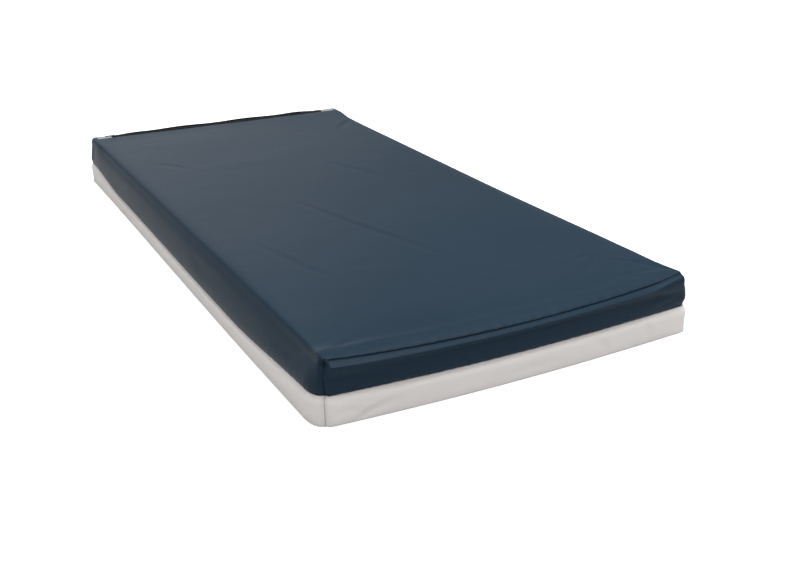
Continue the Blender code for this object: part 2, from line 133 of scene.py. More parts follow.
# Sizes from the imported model


@dataclass(frozen=True)
class FrameSizes:
    """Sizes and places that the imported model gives."""

    half_width: float
    half_length: float
    height: float
    waist: float
    foot_seam: float
    head_seam: float
    opening_low: float
    opening_end: float
    zip_y: float
    zip_z: float
    tape_end: float

    @classmethod
    def read(cls) -> FrameSizes:
        """Reads the sizes from the nodes' boxes.

        Returns:
            The sizes, in metres.
        """
        wrap_low, wrap_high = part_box("top_wrap_panel")
        base_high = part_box("base_wrap_panel")[1]
        foot_low, foot_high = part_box("foot_end_panel")
        head_low, head_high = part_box("head_end_panel")
        patch_low, patch_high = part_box("zip_end_patch_right")
        coil_low, coil_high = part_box("zip_coil_head")
        near_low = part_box("zip_coil_top")[0]
        tape_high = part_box("zip_tape_head")[1]
        return cls(
            half_width=wrap_high.x,
            half_length=head_high.y,
            height=wrap_high.z,
            waist=(wrap_low.z + base_high.z) / 2,
            foot_seam=(wrap_low.y + foot_high.y) / 2,
            head_seam=(wrap_high.y + head_low.y) / 2,
            opening_low=patch_low.y,
            opening_end=patch_high.x,
            zip_y=(near_low.y + coil_high.y) / 2,
            zip_z=(coil_low.z + coil_high.z) / 2,
            tape_end=tape_high.x,
        )


SIZES = FrameSizes.read()


# Shader maths


class Wire:
    """A shader value that Python's operators work on."""

    def __init__(self, bench: Bench, socket: bpy.types.NodeSocket) -> None:
        """Keeps the bench that makes the nodes and the socket that gives the value."""
        self.bench = bench
        self.socket = socket

    def _math(self, operation: str, *terms: Value) -> Wire:
        """Adds one Math node."""
        settings = {"operation": operation}
        return self.bench.wire("ShaderNodeMath", settings, dict(enumerate(terms)))

    def __add__(self, other: Value) -> Wire:
        """Adds."""
        return self._math("ADD", self, other)

    __radd__ = __add__

    def __sub__(self, other: Value) -> Wire:
        """Takes the other away."""
        return self._math("SUBTRACT", self, other)

    def __rsub__(self, other: Value) -> Wire:
        """Takes this away from the other."""
        return self._math("SUBTRACT", other, self)

    def __mul__(self, other: Value) -> Wire:
        """Multiplies."""
        return self._math("MULTIPLY", self, other)

    __rmul__ = __mul__

    def sine(self) -> Wire:
        """The sine of the value, in radians."""
        return self._math("SINE", self)

    def size(self) -> Wire:
        """The value without its sign."""
        return self._math("ABSOLUTE", self)

    def between(self, low: float, high: float) -> Wire:
        """The value as a share of the way from low to high, kept within 0 and 1."""
        values = {0: self, 1: low, 2: high, 3: 0.0, 4: 1.0}
        return self.bench.wire("ShaderNodeMapRange", {"clamp": True}, values)


Value = Union[Wire, float]


class Bench:
    """The bench on which one material's nodes are made."""

    def __init__(self, name: str, owner: bpy.types.World | None = None) -> None:
        """Starts an empty material.

        Args:
            name: The material's name.
            owner: What the nodes are for, where it isn't a new material.
        """
        self.material = owner or bpy.data.materials.new(name)
        self.material.use_nodes = True
        self.tree = self.material.node_tree
        self.tree.nodes.clear()

    def node(
        self, kind: str, settings: dict[str, Any] | None = None, inputs: dict | None = None
    ) -> bpy.types.Node:
        """Makes one node, sets it, and fills its sockets.

        Args:
            kind: The node's type.
            settings: The node's own settings. "stops" gives a ramp's places and colours.
            inputs: Values or wires for its sockets, by name or by number.

        Returns:
            The node.
        """
        made = self.tree.nodes.new(kind)
        for name, value in (settings or {}).items():
            if name == "stops":
                self._set_stops(made.color_ramp, value)
            else:
                setattr(made, name, value)
        for key, value in (inputs or {}).items():
            if isinstance(value, Wire):
                self.tree.links.new(value.socket, made.inputs[key])
            else:
                made.inputs[key].default_value = value
        return made

    @staticmethod
    def _set_stops(ramp: bpy.types.ColorRamp, stops: Sequence[tuple[float, Colour]]) -> None:
        """Gives a ramp its stops."""
        while len(ramp.elements) < len(stops):
            ramp.elements.new(1.0)
        for element, (place, colour) in zip(ramp.elements, stops):
            element.position = place
            element.color = (*colour, 1.0)

    def wire(
        self, kind: str, settings: dict[str, Any] | None = None, inputs: dict | None = None,
        output: int | str = 0,
    ) -> Wire:
        """Makes one node and gives one of its outputs."""
        return Wire(self, self.node(kind, settings, inputs).outputs[output])

    def place(self) -> Wire:
        """The place in the piece's own frame, in metres."""
        return self.wire("ShaderNodeTexCoord", output="Object")

    def cloth_place(self) -> tuple[Wire, Wire]:
        """The place on the flat cut cloth, across and along, in metres."""
        chart = self.wire("ShaderNodeUVMap", {"uv_map": CUT_CHART})
        split = self.node("ShaderNodeSeparateXYZ", inputs={0: chart})
        return Wire(self, split.outputs[0]), Wire(self, split.outputs[1])

    def mark(self, name: str) -> Wire:
        """A number that the mesh carries."""
        settings = {"attribute_name": name, "attribute_type": "GEOMETRY"}
        return self.wire("ShaderNodeAttribute", settings, output="Fac")

    def noise(self, scale: float, detail: float = 2.0, roughness: float = 0.5) -> Wire:
        """Cloudy variation, from 0 to 1, with about this many clouds in a metre."""
        values = {"Vector": self.place(), "Scale": scale, "Detail": detail, "Roughness": roughness}
        return self.wire("ShaderNodeTexNoise", inputs=values)

    def cells(self, scale: float) -> Wire:
        """Distance to the nearest of scattered points."""
        values = {"Vector": self.place(), "Scale": scale}
        return self.wire("ShaderNodeTexVoronoi", inputs=values, output="Distance")

    def blend(self, share: Value, first: Colour | Wire, second: Colour | Wire) -> Wire:
        """Goes from the first colour to the second."""
        ends = [c if isinstance(c, Wire) else (*c, 1.0) for c in (first, second)]
        values = {0: share, 6: ends[0], 7: ends[1]}
        return self.wire("ShaderNodeMix", {"data_type": "RGBA"}, values, output=2)

    def bump(self, height: Wire, depth: float, strength: float, under: Wire | None = None) -> Wire:
        """Turns a height from 0 to 1 into relief of a depth in metres."""
        values: dict = {"Strength": strength, "Distance": depth, "Height": height}
        if under is not None:
            values["Normal"] = under
        return self.wire("ShaderNodeBump", inputs=values)

    def finish(self, values: dict[str, Any]) -> bpy.types.Material:
        """Ends the material with its shader.

        Args:
            values: The shader's sockets by name.

        Returns:
            The material.
        """
        shader = self.node("ShaderNodeBsdfPrincipled", inputs=values)
        end = self.node("ShaderNodeOutputMaterial")
        self.tree.links.new(shader.outputs[0], end.inputs[0])
        return self.material


# Finishes


@dataclass(frozen=True)
class CoatedCloth:
    """Woven cloth with a soft waterproof coating."""

    name: str
    face: Colour
    faded: Colour
    # The colour of the painted shade along the seams.
    seam_shade_colour: Colour
    roughness: float
    shine: float
    thread: float = 0.0007
    relief: float = 0.00006
    grain: float = 0.12

    def material(self) -> bpy.types.Material:
        """Makes the material: cloudy colour, painted shade along the seams, a fine plain weave and slack
        in the coating.

        Returns:
            The material.
        """
        bench = Bench(self.name)
        across, along = bench.cloth_place()
        turns = FULL_TURN / (2 * self.thread)
        weave = (across * turns).sine() * (along * turns).sine() * 0.5 + 0.5
        clouds = bench.noise(2.6, 3.0)
        specks = bench.noise(420.0, 2.0)
        seam = bench.mark(SEAM_SHADE_MARK)
        colour = bench.blend(clouds.between(0.30, 0.72) * 0.5 + specks * 0.10, self.face, self.faded)
        # Painted shade along the seams, from the mark that the cover carries.
        colour = bench.blend(seam * 0.55, colour, self.seam_shade_colour)
        slack = bench.noise(16.0, 2.0)
        relief = bench.bump(slack, 0.004, self.grain)
        relief = bench.bump(weave, self.relief, 0.35, relief)
        rough = clouds * 0.06 + specks * 0.05 + seam * 0.08 + (self.roughness - 0.05)
        return bench.finish(
            {
                "Base Color": colour,
                "Roughness": rough,
                "Specular IOR Level": self.shine,
                "Normal": relief,
            }
        )


@dataclass(frozen=True)
class ZipTape:
    """Herringbone woven tape."""

    name: str
    face: Colour
    # The colour of the painted highlight on the ribs.
    rib_highlight: Colour
    rib: float = 0.0011
    roughness: float = 0.72
    shine: float = 0.05

    def material(self) -> bpy.types.Material:
        """Makes the material: slanting ribs that turn over along the tape's middle, with a painted
        highlight on the ribs.

        Returns:
            The material.
        """
        bench = Bench(self.name)
        across, along = bench.cloth_place()
        turns = FULL_TURN / self.rib
        ribs = ((across.size() + along) * turns).sine() * 0.5 + 0.5
        threads = (along * (turns * 2.5)).sine() * 0.5 + 0.5
        lint = bench.noise(600.0, 3.0)
        # Painted highlight: the ribs are paler than the tape between them.
        colour = bench.blend(ribs * 0.6 + lint * 0.3, self.face, self.rib_highlight)
        relief = bench.bump(ribs * 0.8 + threads * 0.2, 0.00018, 0.6)
        return bench.finish(
            {
                "Base Color": colour,
                "Roughness": lint * 0.1 + (self.roughness - 0.05),
                "Specular IOR Level": self.shine,
                "Normal": relief,
            }
        )


@dataclass(frozen=True)
class Moulded:
    """Moulded or lacquered hard stuff, with rubbed high spots."""

    name: str
    face: Colour
    rubbed: Colour
    roughness: float
    metallic: float
    coat: float
    grain: float = 900.0
    relief: float = 0.00003

    def material(self) -> bpy.types.Material:
        """Makes the material: fine grain, and paler, smoother places where hands rub it.

        Returns:
            The material.
        """
        bench = Bench(self.name)
        grain = bench.noise(self.grain, 3.0)
        rub = bench.noise(self.grain * 0.16, 2.0).between(0.52, 0.75)
        colour = bench.blend(rub * 0.6 + grain * 0.15, self.face, self.rubbed)
        return bench.finish(
            {
                "Base Color": colour,
                "Roughness": grain * 0.12 - rub * 0.08 + (self.roughness - 0.04),
                "Metallic": self.metallic,
                "Coat Weight": self.coat,
                "Coat Roughness": 0.25,
                "Normal": bench.bump(grain, self.relief, 0.4),
            }
        )


@dataclass(frozen=True)
class Foam:
    """Cut open-cell foam."""

    name: str
    face: Colour
    # The colour of the painted shade in the pits.
    pit_shade: Colour
    cells: float = 900.0

    def material(self) -> bpy.types.Material:
        """Makes the material: open cells, with painted shade in their pits.

        Returns:
            The material.
        """
        bench = Bench(self.name)
        pits = bench.cells(self.cells)
        clouds = bench.noise(9.0, 3.0)
        # Painted shade: the pits are darker than the cell walls.
        colour = bench.blend(pits.between(0.25, 0.75) * 0.7 + clouds * 0.2, self.face, self.pit_shade)
        relief = bench.bump(1 - pits, 0.0005, 0.5)
        return bench.finish(
            {"Base Color": colour, "Roughness": clouds * 0.08 + 0.88, "Normal": relief}
        )


@dataclass(frozen=True)
class Knit:
    """Stretch knit: columns of small loops."""

    name: str
    # The colour of the painted shade in the gaps between the loops.
    face: Colour
    gap: Colour
    loop: float
    roughness: float = 0.9

    def material(self) -> bpy.types.Material:
        """Makes the material: wales and courses in the piece's own frame, with painted shade in the gaps
        between the loops.

        Returns:
            The material.
        """
        bench = Bench(self.name)
        split = bench.node("ShaderNodeSeparateXYZ", inputs={0: bench.place()})
        x, y, z = (Wire(bench, split.outputs[n]) for n in range(3))
        turns = FULL_TURN / self.loop
        wales = ((x + y) * turns).sine() * 0.5 + 0.5
        courses = ((y - x + z) * (turns * 0.8)).sine() * 0.5 + 0.5
        fuzz = bench.noise(500.0, 3.0)
        loops = wales * courses
        # Painted shade: darker between the loops.
        colour = bench.blend(loops * 0.5 + fuzz * 0.3, self.gap, self.face)
        return bench.finish(
            {
                "Base Color": colour,
                "Roughness": fuzz * 0.08 + (self.roughness - 0.04),
                "Normal": bench.bump(loops, 0.0004, 0.6),
            }
        )


NAVY_CLOTH = CoatedCloth(
    "coated_navy",
    face=(0.0086, 0.0190, 0.0312),
    faded=(0.0112, 0.0236, 0.0378),
    seam_shade_colour=(0.0030, 0.0075, 0.0130),
    roughness=0.40,
    shine=0.04,
)
GREY_CLOTH = CoatedCloth(
    "coated_grey",
    face=(0.545, 0.520, 0.508),
    faded=(0.590, 0.566, 0.554),
    seam_shade_colour=(0.410, 0.390, 0.380),
    roughness=0.62,
    shine=0.20,
)
PATCH_CLOTH = CoatedCloth(
    "patch_grey",
    face=(0.170, 0.180, 0.178),
    faded=(0.215, 0.225, 0.222),
    seam_shade_colour=(0.130, 0.136, 0.134),
    roughness=0.62,
    shine=0.25,
)
# A navy darker than the cover's: painted shade in the groove of the foot seam.
WELT_SHADE_CLOTH = CoatedCloth(
    "welt_navy_painted_shade",
    face=(0.0036, 0.0085, 0.0130),
    faded=(0.0050, 0.0110, 0.0165),
    seam_shade_colour=(0.0020, 0.0050, 0.0080),
    roughness=0.60,
    shine=0.03,
)
BLACK_TAPE = ZipTape("tape_black", (0.0030, 0.0032, 0.0042), (0.0080, 0.0083, 0.0100))
BLACK_NYLON = Moulded("coil_nylon", (0.004, 0.004, 0.005), (0.010, 0.010, 0.012), 0.55, 0.0, 0.0)
BLACK_THREAD = Moulded("thread_black", (0.006, 0.006, 0.007), (0.016, 0.016, 0.018), 0.70, 0.0, 0.0)
GREY_THREAD = Moulded("thread_grey", (0.42, 0.42, 0.41), (0.52, 0.52, 0.51), 0.75, 0.0, 0.0)
NAVY_THREAD = Moulded("thread_navy", (0.010, 0.022, 0.032), (0.020, 0.038, 0.052), 0.70, 0.0, 0.0)
BLACK_LACQUER = Moulded("lacquer_black", (0.012, 0.012, 0.014), (0.16, 0.15, 0.14), 0.34, 0.75, 0.5)
LABEL_CLOTH = Knit("label_satin", (0.80, 0.80, 0.77), (0.66, 0.66, 0.63), 0.0006, 0.55)
BINDING_CLOTH = Knit("binding_tape", (0.026, 0.042, 0.068), (0.010, 0.018, 0.030), 0.0012)
SOCK_KNIT = Knit("sock_knit", (0.76, 0.74, 0.69), (0.52, 0.50, 0.46), 0.0022)
ELASTIC_KNIT = Knit("elastic_knit", (0.65, 0.63, 0.58), (0.42, 0.40, 0.37), 0.0016)
BASE_FOAM = Foam("foam_base", (0.33, 0.38, 0.45), (0.22, 0.26, 0.31))
BOLSTER_FOAM = Foam("foam_bolster", (0.18, 0.26, 0.38), (0.11, 0.16, 0.25))
ZONE_FOAM = Foam("foam_zone", (0.76, 0.68, 0.45), (0.52, 0.45, 0.28))
VISCO_FOAM = Foam("foam_visco", (0.85, 0.80, 0.62), (0.62, 0.57, 0.42), 1400.0)

FOAM_FINISHES = {
    "base_foam_slab": (BASE_FOAM, Slot.FOAM_BASE),
    "side_bolster_left": (BOLSTER_FOAM, Slot.FOAM_BOLSTER),
    "side_bolster_right": (BOLSTER_FOAM, Slot.FOAM_BOLSTER),
    "zone_foam_head": (ZONE_FOAM, Slot.FOAM_ZONE),
    "zone_foam_torso": (ZONE_FOAM, Slot.FOAM_ZONE),
    "zone_foam_pelvis": (ZONE_FOAM, Slot.FOAM_ZONE),
    "zone_foam_thigh": (ZONE_FOAM, Slot.FOAM_ZONE),
    "zone_foam_heel": (ZONE_FOAM, Slot.FOAM_ZONE),
    "visco_topper": (VISCO_FOAM, Slot.FOAM_VISCO),
}


# Helpers


def smooth(values: Array, low: float, high: float) -> Array:
    """A soft step from 0 at low to 1 at high."""
    share = np.clip((values - low) / (high - low), 0.0, 1.0)
    return share * share * (3.0 - 2.0 * share)


def hill(values: Array, reach: float) -> Array:
    """A bell that is 1 where the values are 0."""
    return np.exp(-((values / reach) ** 2))


def spaced(low: float, high: float, step: float) -> list[float]:
    """Even places from low up to, and without, high."""
    count = max(1, round((high - low) / step))
    return [low + (high - low) * n / count for n in range(count)]


def read_points(mesh: bpy.types.Mesh) -> Array:
    """A mesh's vertices as rows."""
    flat = np.empty(len(mesh.vertices) * 3, np.float64)
    mesh.vertices.foreach_get("co", flat)
    return flat.reshape(-1, 3)


def read_normals(mesh: bpy.types.Mesh) -> Array:
    """A mesh's vertex normals as rows."""
    flat = np.empty(len(mesh.vertices) * 3, np.float64)
    mesh.vertex_normals.foreach_get("vector", flat)
    return flat.reshape(-1, 3)


def write_points(mesh: bpy.types.Mesh, points: Array) -> None:
    """Puts a mesh's vertices in place."""
    mesh.vertices.foreach_set("co", points.astype(np.float32).ravel())
    mesh.update()


def read_net(mesh: bpy.types.Mesh) -> Array:
    """Where each vertex of the cover lies on the plain box that it was laid out on."""
    flat = np.empty(len(mesh.vertices) * 3, np.float32)
    mesh.attributes["net"].data.foreach_get("vector", flat)
    return flat.reshape(-1, 3).astype(np.float64)


def add_wall(made: bpy.types.Object, thickness: float, offset: float = -1.0) -> None:
    """Gives one layer of cloth its thickness, inwards unless the offset says otherwise."""
    solid = made.modifiers.new("cloth_wall", "SOLIDIFY")
    solid.thickness = thickness
    solid.offset = offset


def new_object(name: str, data: bpy.types.ID) -> bpy.types.Object:
    """Puts a mesh, a curve, a lamp or a camera in the scene."""
    made = bpy.data.objects.new(name, data)
    bpy.context.scene.collection.objects.link(made)
    return made


def remove(*objects: bpy.types.Object) -> None:
    """Takes objects and their meshes out of the file."""
    for item in objects:
        mesh = item.data
        bpy.data.objects.remove(item, do_unlink=True)
        if mesh is not None and mesh.users == 0:
            bpy.data.meshes.remove(mesh)


def evaluated_mesh(source: bpy.types.Object) -> bpy.types.Mesh:
    """The mesh that an object's modifiers make, as a plain mesh."""
    bpy.context.view_layer.update()
    graph = bpy.context.evaluated_depsgraph_get()
    return bpy.data.meshes.new_from_object(
        source.evaluated_get(graph), preserve_all_data_layers=True, depsgraph=graph
    )


def finish_piece(
    made: bpy.types.Object,
    body: Body,
    material: bpy.types.Material,
    replaces: Iterable[str] = (),
) -> None:
    """Gives a finished piece its material and body, and hides the nodes that it stands for.

    Args:
        made: The piece.
        body: The body that it rides on.
        material: Its material.
        replaces: The nodes that it stands for.
    """
    made.data.materials.clear()
    made.data.materials.append(material)
    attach(made, body.value)
    if replaces:
        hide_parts(*replaces)
    LOG.info("%s: %d faces, rides on %s", made.name, len(made.data.polygons), body.value)


def dress_node(name: str, material: bpy.types.Material, rounding: float) -> None:
    """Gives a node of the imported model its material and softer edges.

    Args:
        name: The node's name.
        material: Its material.
        rounding: The width of its rounded edges.
    """
    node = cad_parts[name]
    node.data.materials.clear()
    node.data.materials.append(material)
    weld = node.modifiers.new("weld", "WELD")
    weld.merge_threshold = MERGE
    bevel = node.modifiers.new("soft_edges", "BEVEL")
    bevel.width = rounding
    bevel.segments = 2
    bevel.limit_method = "ANGLE"
    bevel.angle_limit = math.radians(35)
    bevel.harden_normals = False
    LOG.info("%s: dressed as it is", name)


# Repeated things


class RowTree:
    """A geometry node tree with named inputs."""

    def __init__(self, name: str) -> None:
        """Starts a tree that has one geometry input and one geometry output."""
        self.tree = bpy.data.node_groups.new(name, "GeometryNodeTree")
        for way in ("INPUT", "OUTPUT"):
            self.tree.interface.new_socket("Geometry", in_out=way, socket_type="NodeSocketGeometry")
        self.source = self.tree.nodes.new("NodeGroupInput")
        self.result = self.tree.nodes.new("NodeGroupOutput")

    def size(self, name: str, value: float) -> bpy.types.NodeSocket:
        """Adds a named size and gives its socket inside the tree."""
        item = self.tree.interface.new_socket(name, in_out="INPUT", socket_type="NodeSocketFloat")
        item.default_value = value
        return self.source.outputs[name]

    def node(
        self, kind: str, settings: dict[str, Any] | None = None, inputs: dict | None = None
    ) -> bpy.types.Node:
        """Makes one node, sets it, and fills its sockets.

        Args:
            kind: The node's type.
            settings: The node's own settings.
            inputs: Values or links for its sockets, by name or by number.

        Returns:
            The node.
        """
        made = self.tree.nodes.new(kind)
        for name, value in (settings or {}).items():
            setattr(made, name, value)
        for key, value in (inputs or {}).items():
            if isinstance(value, bpy.types.NodeSocket):
                self.tree.links.new(value, made.inputs[key])
            else:
                made.inputs[key].default_value = value
        return made

    def spots(self, pitch: bpy.types.NodeSocket) -> bpy.types.NodeSocket:
        """Points along the guide, a pitch apart."""
        curve = self.node("GeometryNodeMeshToCurve", inputs={0: self.source.outputs[0]})
        values = {"Curve": curve.outputs[0], "Length": pitch}
        return self.node("GeometryNodeResampleCurve", {"mode": "LENGTH"}, values).outputs[0]

    def end(self, placing: dict[str, bpy.types.NodeSocket]) -> None:
        """Repeats a shape and ends the tree with real geometry that has its material.

        Args:
            placing: The points, the shape to repeat on them, and its turn and size.
        """
        placed = self.node("GeometryNodeInstanceOnPoints", inputs=placing)
        real = self.node("GeometryNodeRealizeInstances", inputs={0: placed.outputs[0]})
        self.tree.interface.new_socket("Finish", in_out="INPUT", socket_type="NodeSocketMaterial")
        values = {"Geometry": real.outputs[0], "Material": self.source.outputs["Finish"]}
        dressed = self.node("GeometryNodeSetMaterial", inputs=values)
        self.tree.links.new(dressed.outputs[0], self.result.inputs[0])

    def run(self, name: str, guide: bpy.types.Mesh, values: dict[str, Any]) -> bpy.types.Object:
        """Runs the tree on a guide mesh and keeps the result as a plain mesh.

        Args:
            name: The new piece's name.
            guide: The mesh that the tree starts from.
            values: The tree's inputs by name.

        Returns:
            The new piece.
        """
        holder = new_object(name + "_guide", guide)
        modifier = holder.modifiers.new("row", "NODES")
        modifier.node_group = self.tree
        for item in self.tree.interface.items_tree:
            if item.in_out == "INPUT" and item.name in values:
                modifier[item.identifier] = values[item.name]
        mesh = evaluated_mesh(holder)
        remove(holder)
        mesh.name = name
        mesh.shade_smooth()
        return new_object(name, mesh)


def path_mesh(paths: Sequence[Sequence[Sequence[float]]]) -> bpy.types.Mesh:
    """A mesh of edges along each path."""
    points = [tuple(p) for path in paths for p in path]
    edges, start = [], 0
    for path in paths:
        edges += [(start + n, start + n + 1) for n in range(len(path) - 1)]
        start += len(path)
    mesh = bpy.data.meshes.new("path")
    mesh.from_pydata(points, edges, [])
    return mesh


class StitchRow(RowTree):
    """Lock stitches along a path: short low humps of thread that lie on the cloth."""

    def __init__(self) -> None:
        """Builds the tree."""
        super().__init__("stitch_row")
        pitch = self.size("Pitch", 0.0030)
        length = self.size("Stitch Length", 0.0023)
        thread = self.size("Thread Radius", 0.00028)
        spots = self.spots(pitch)
        tangent = self.node("GeometryNodeInputTangent")
        turned = self.node(
            "FunctionNodeAlignRotationToVector", {"axis": "X"}, {"Vector": tangent.outputs[0]}
        )
        ball = {"Segments": 6, "Rings": 4, "Radius": 1.0}
        stitch = self.node("GeometryNodeMeshUVSphere", inputs=ball)
        half = self.node("ShaderNodeMath", {"operation": "MULTIPLY"}, {0: length, 1: 0.5})
        scale = self.node("ShaderNodeCombineXYZ", inputs={0: half.outputs[0], 1: thread, 2: thread})
        self.end(
            {
                "Points": spots,
                "Instance": stitch.outputs[0],
                "Rotation": turned.outputs[0],
                "Scale": scale.outputs[0],
            }
        )


class CoilRow(RowTree):
    """Links of a nylon zip coil: flat loops of wire in a row, each leaning a little."""

    def __init__(self) -> None:
        """Builds the tree."""
        super().__init__("coil_row")
        pitch = self.size("Pitch", 0.0016)
        width = self.size("Link Width", 0.0026)
        height = self.size("Link Height", 0.0028)
        wire = self.size("Wire Radius", 0.0004)
        lean = self.size("Lean", 0.2)
        spots = self.spots(pitch)
        loop = self._circle(10, 0.5)
        shape = self.node("ShaderNodeCombineXYZ", inputs={0: width, 1: height, 2: 1.0})
        sized = self.node("GeometryNodeTransform", inputs={"Geometry": loop, "Scale": shape.outputs[0]})
        stand = self.node("ShaderNodeCombineXYZ", inputs={0: math.pi / 2, 1: 0.0, 2: math.pi / 2})
        turned = self.node(
            "GeometryNodeTransform", inputs={"Geometry": sized.outputs[0], "Rotation": stand.outputs[0]}
        )
        values = {"Curve": turned.outputs[0], "Profile Curve": self._circle(5, wire)}
        solid = self.node("GeometryNodeCurveToMesh", inputs=values)
        leaning = self.node("ShaderNodeCombineXYZ", inputs={0: 0.0, 1: 0.0, 2: lean})
        self.end({"Points": spots, "Instance": solid.outputs[0], "Rotation": leaning.outputs[0]})

    def _circle(self, corners: int, radius: float | bpy.types.NodeSocket) -> bpy.types.NodeSocket:
        """A closed ring."""
        values = {"Resolution": corners, "Radius": radius}
        return self.node("GeometryNodeCurvePrimitiveCircle", {"mode": "RADIUS"}, values).outputs[0]


# The cover


@dataclass(frozen=True)
class Wave:
    """A long low wave in the top: radians in a metre across and along, its phase and its share."""

    across: float
    along: float
    phase: float
    share: float

    def height(self, x: Array, y: Array) -> Array:
        """The wave's height at each place."""
        return self.share * np.sin(self.across * x + self.along * y + self.phase)


WAVES = (Wave(5.3, 3.1, 0.6, 1.0), Wave(-7.9, 5.7, 2.2, 0.7), Wave(3.1, -9.4, 4.0, 0.6))


@dataclass
class Settling:
    """How the filled cover gives where it lies: a move for every point in and on it.

    A band is where a move sets in or fades: places along in metres, shares of the height, or shares of
    the half length.
    """

    side_bow_foot: float = 0.0240
    side_bow_head: float = 0.0095
    side_bow_along: Band = (-0.75, 1.0)
    side_bow_heights: Band = (0.40, 1.0)
    side_turn: float = 0.0590
    side_turn_end: float = 0.0085
    side_power: int = 5
    right_share: float = 0.92
    foot_bow: float = 0.0250
    foot_bow_middle: float = -0.24
    foot_bow_reach: float = 0.54
    foot_bow_shares: Band = (0.72, 1.0)
    foot_bow_power: float = 1.5
    foot_sag: float = 0.0185
    foot_sag_ends: float = 0.0015
    foot_sag_reach: float = 0.070
    foot_sag_power: float = 1.4
    crown_power: float = 0.8
    right_edge_give: float = 0.0062
    right_edge_along: Band = (-0.90, -0.10)
    left_edge_give: float = 0.0060
    edge_give_reach: float = 0.020
    edge_give_drop: float = 0.8
    waist_dip: float = 0.0235
    waist_dip_starts: Band = (-1.0, -0.5)
    waist_dip_ends: Band = (0.60, 1.03)
    waist_dip_power: float = 0.8
    swell: float = 0.0012
    waves_together: float = 1.6
    before_zip: Band = (0.13, 0.02)

    def move(self, points: Array) -> Array:
        """Moves points of the plain form to where the filled cover has them.

        Args:
            points: Rows of x, y and z in metres.

        Returns:
            The moved rows.
        """
        x, y, z = points.T
        wide, high = x / SIZES.half_width, z / SIZES.height
        far = y / SIZES.half_length
        starts, ends = (SIZES.opening_low - gap for gap in self.before_zip)
        still = 1 - smooth(y, starts, ends)
        to_side = np.abs(wide) ** self.side_power
        fullness = 1 - smooth(y, *self.side_bow_along)
        bow = self.side_bow_head + (self.side_bow_foot - self.side_bow_head) * fullness
        turn_run = self.side_turn - self.side_turn_end
        turn = np.clip((self.side_turn - SIZES.half_length - y) / turn_run, 0.0, 1.0)
        bow = bow * np.where(x > 0, 1.0, np.sqrt(1 - turn**2))
        bow = bow * np.where(x > 0, self.right_share, 1.0) * (1 - smooth(high, *self.side_bow_heights))
        dx = np.sign(x) * bow * to_side
        reach = (x - self.foot_bow_middle) / self.foot_bow_reach
        to_foot = smooth(-far, *self.foot_bow_shares) ** self.foot_bow_power
        dy = -self.foot_bow * (1 - reach**2) * to_foot
        crown = np.clip(1 - wide**2, 0.0, 1.0) ** self.crown_power
        from_foot = np.clip(y + SIZES.half_length, 0.0, None)
        roll_over = np.exp(-((from_foot / self.foot_sag_reach) ** self.foot_sag_power))
        dz = -(self.foot_sag * crown + self.foot_sag_ends) * roll_over * high**2
        right_give = self.right_edge_give * smooth(y, *self.right_edge_along)
        give = np.where(x > 0, right_give, self.left_edge_give * (1 - far**6)) * still
        corner = hill(SIZES.half_width - np.abs(x), self.edge_give_reach)
        corner = corner * hill(SIZES.height - z, self.edge_give_reach)
        dx -= np.sign(x) * give * corner
        dz -= give * corner * self.edge_give_drop
        below = np.clip(z / SIZES.waist, 0.0, 1.0)
        above = np.clip((SIZES.height - z) / (SIZES.height - SIZES.waist), 0.0, 1.0)
        dip = self.waist_dip * smooth(y, *self.waist_dip_starts) ** self.waist_dip_power
        dip = dip * (1 - smooth(y, *self.waist_dip_ends)) * to_side
        dz -= dip * (below * above) ** 2
        rolling = sum(wave.height(x, y) for wave in WAVES) / self.waves_together
        dz += self.swell * rolling * high**3 * still * (1 - to_side)
        return points + np.stack([dx, dy, dz], axis=1)


@dataclass(frozen=True)
class Crease:
    """A crease in the cloth, through a few points of the unfolded cover, across and along it."""

    route: tuple[tuple[float, float], ...]
    depth: float
    width: float
    lip: float = 0.6
    lip_place: float = 1.9
    lip_width: float = 1.1
    lip_fade: float = 3.0
    lip_reach: float = 6.0
    end_power: float = 0.6

    def height(self, across: Array, along: Array) -> Array:
        """How far the crease lifts or sinks each point of the cloth.

        Args:
            across: The points' x.
            along: The points' y.

        Returns:
            Heights in metres, below 0 in the crease and above 0 on the lip at its left.
        """
        best = np.full(across.shape, 1e9)
        side = np.zeros(across.shape)
        share = np.zeros(across.shape)
        pieces = len(self.route) - 1
        for number, (start, end) in enumerate(zip(self.route, self.route[1:])):
            run = np.array(end) - np.array(start)
            length = float(np.hypot(*run))
            px, py = across - start[0], along - start[1]
            place = np.clip((px * run[0] + py * run[1]) / length**2, 0.0, 1.0)
            gap = np.hypot(px - place * run[0], py - place * run[1])
            closer = gap < best
            best = np.where(closer, gap, best)
            side = np.where(closer, (run[0] * py - run[1] * px) / length, side)
            share = np.where(closer, (number + place) / pieces, share)
        ends = np.sin(np.pi * np.clip(share, 0.02, 0.98)) ** self.end_power
        valley = hill(best, self.width)
        beside = hill(side - self.lip_place * self.width, self.lip_width * self.width)
        beside = beside * (best < self.lip_reach * self.width)
        lip = self.lip * beside * hill(best, self.lip_fade * self.width)
        return ends * self.depth * (lip - valley)


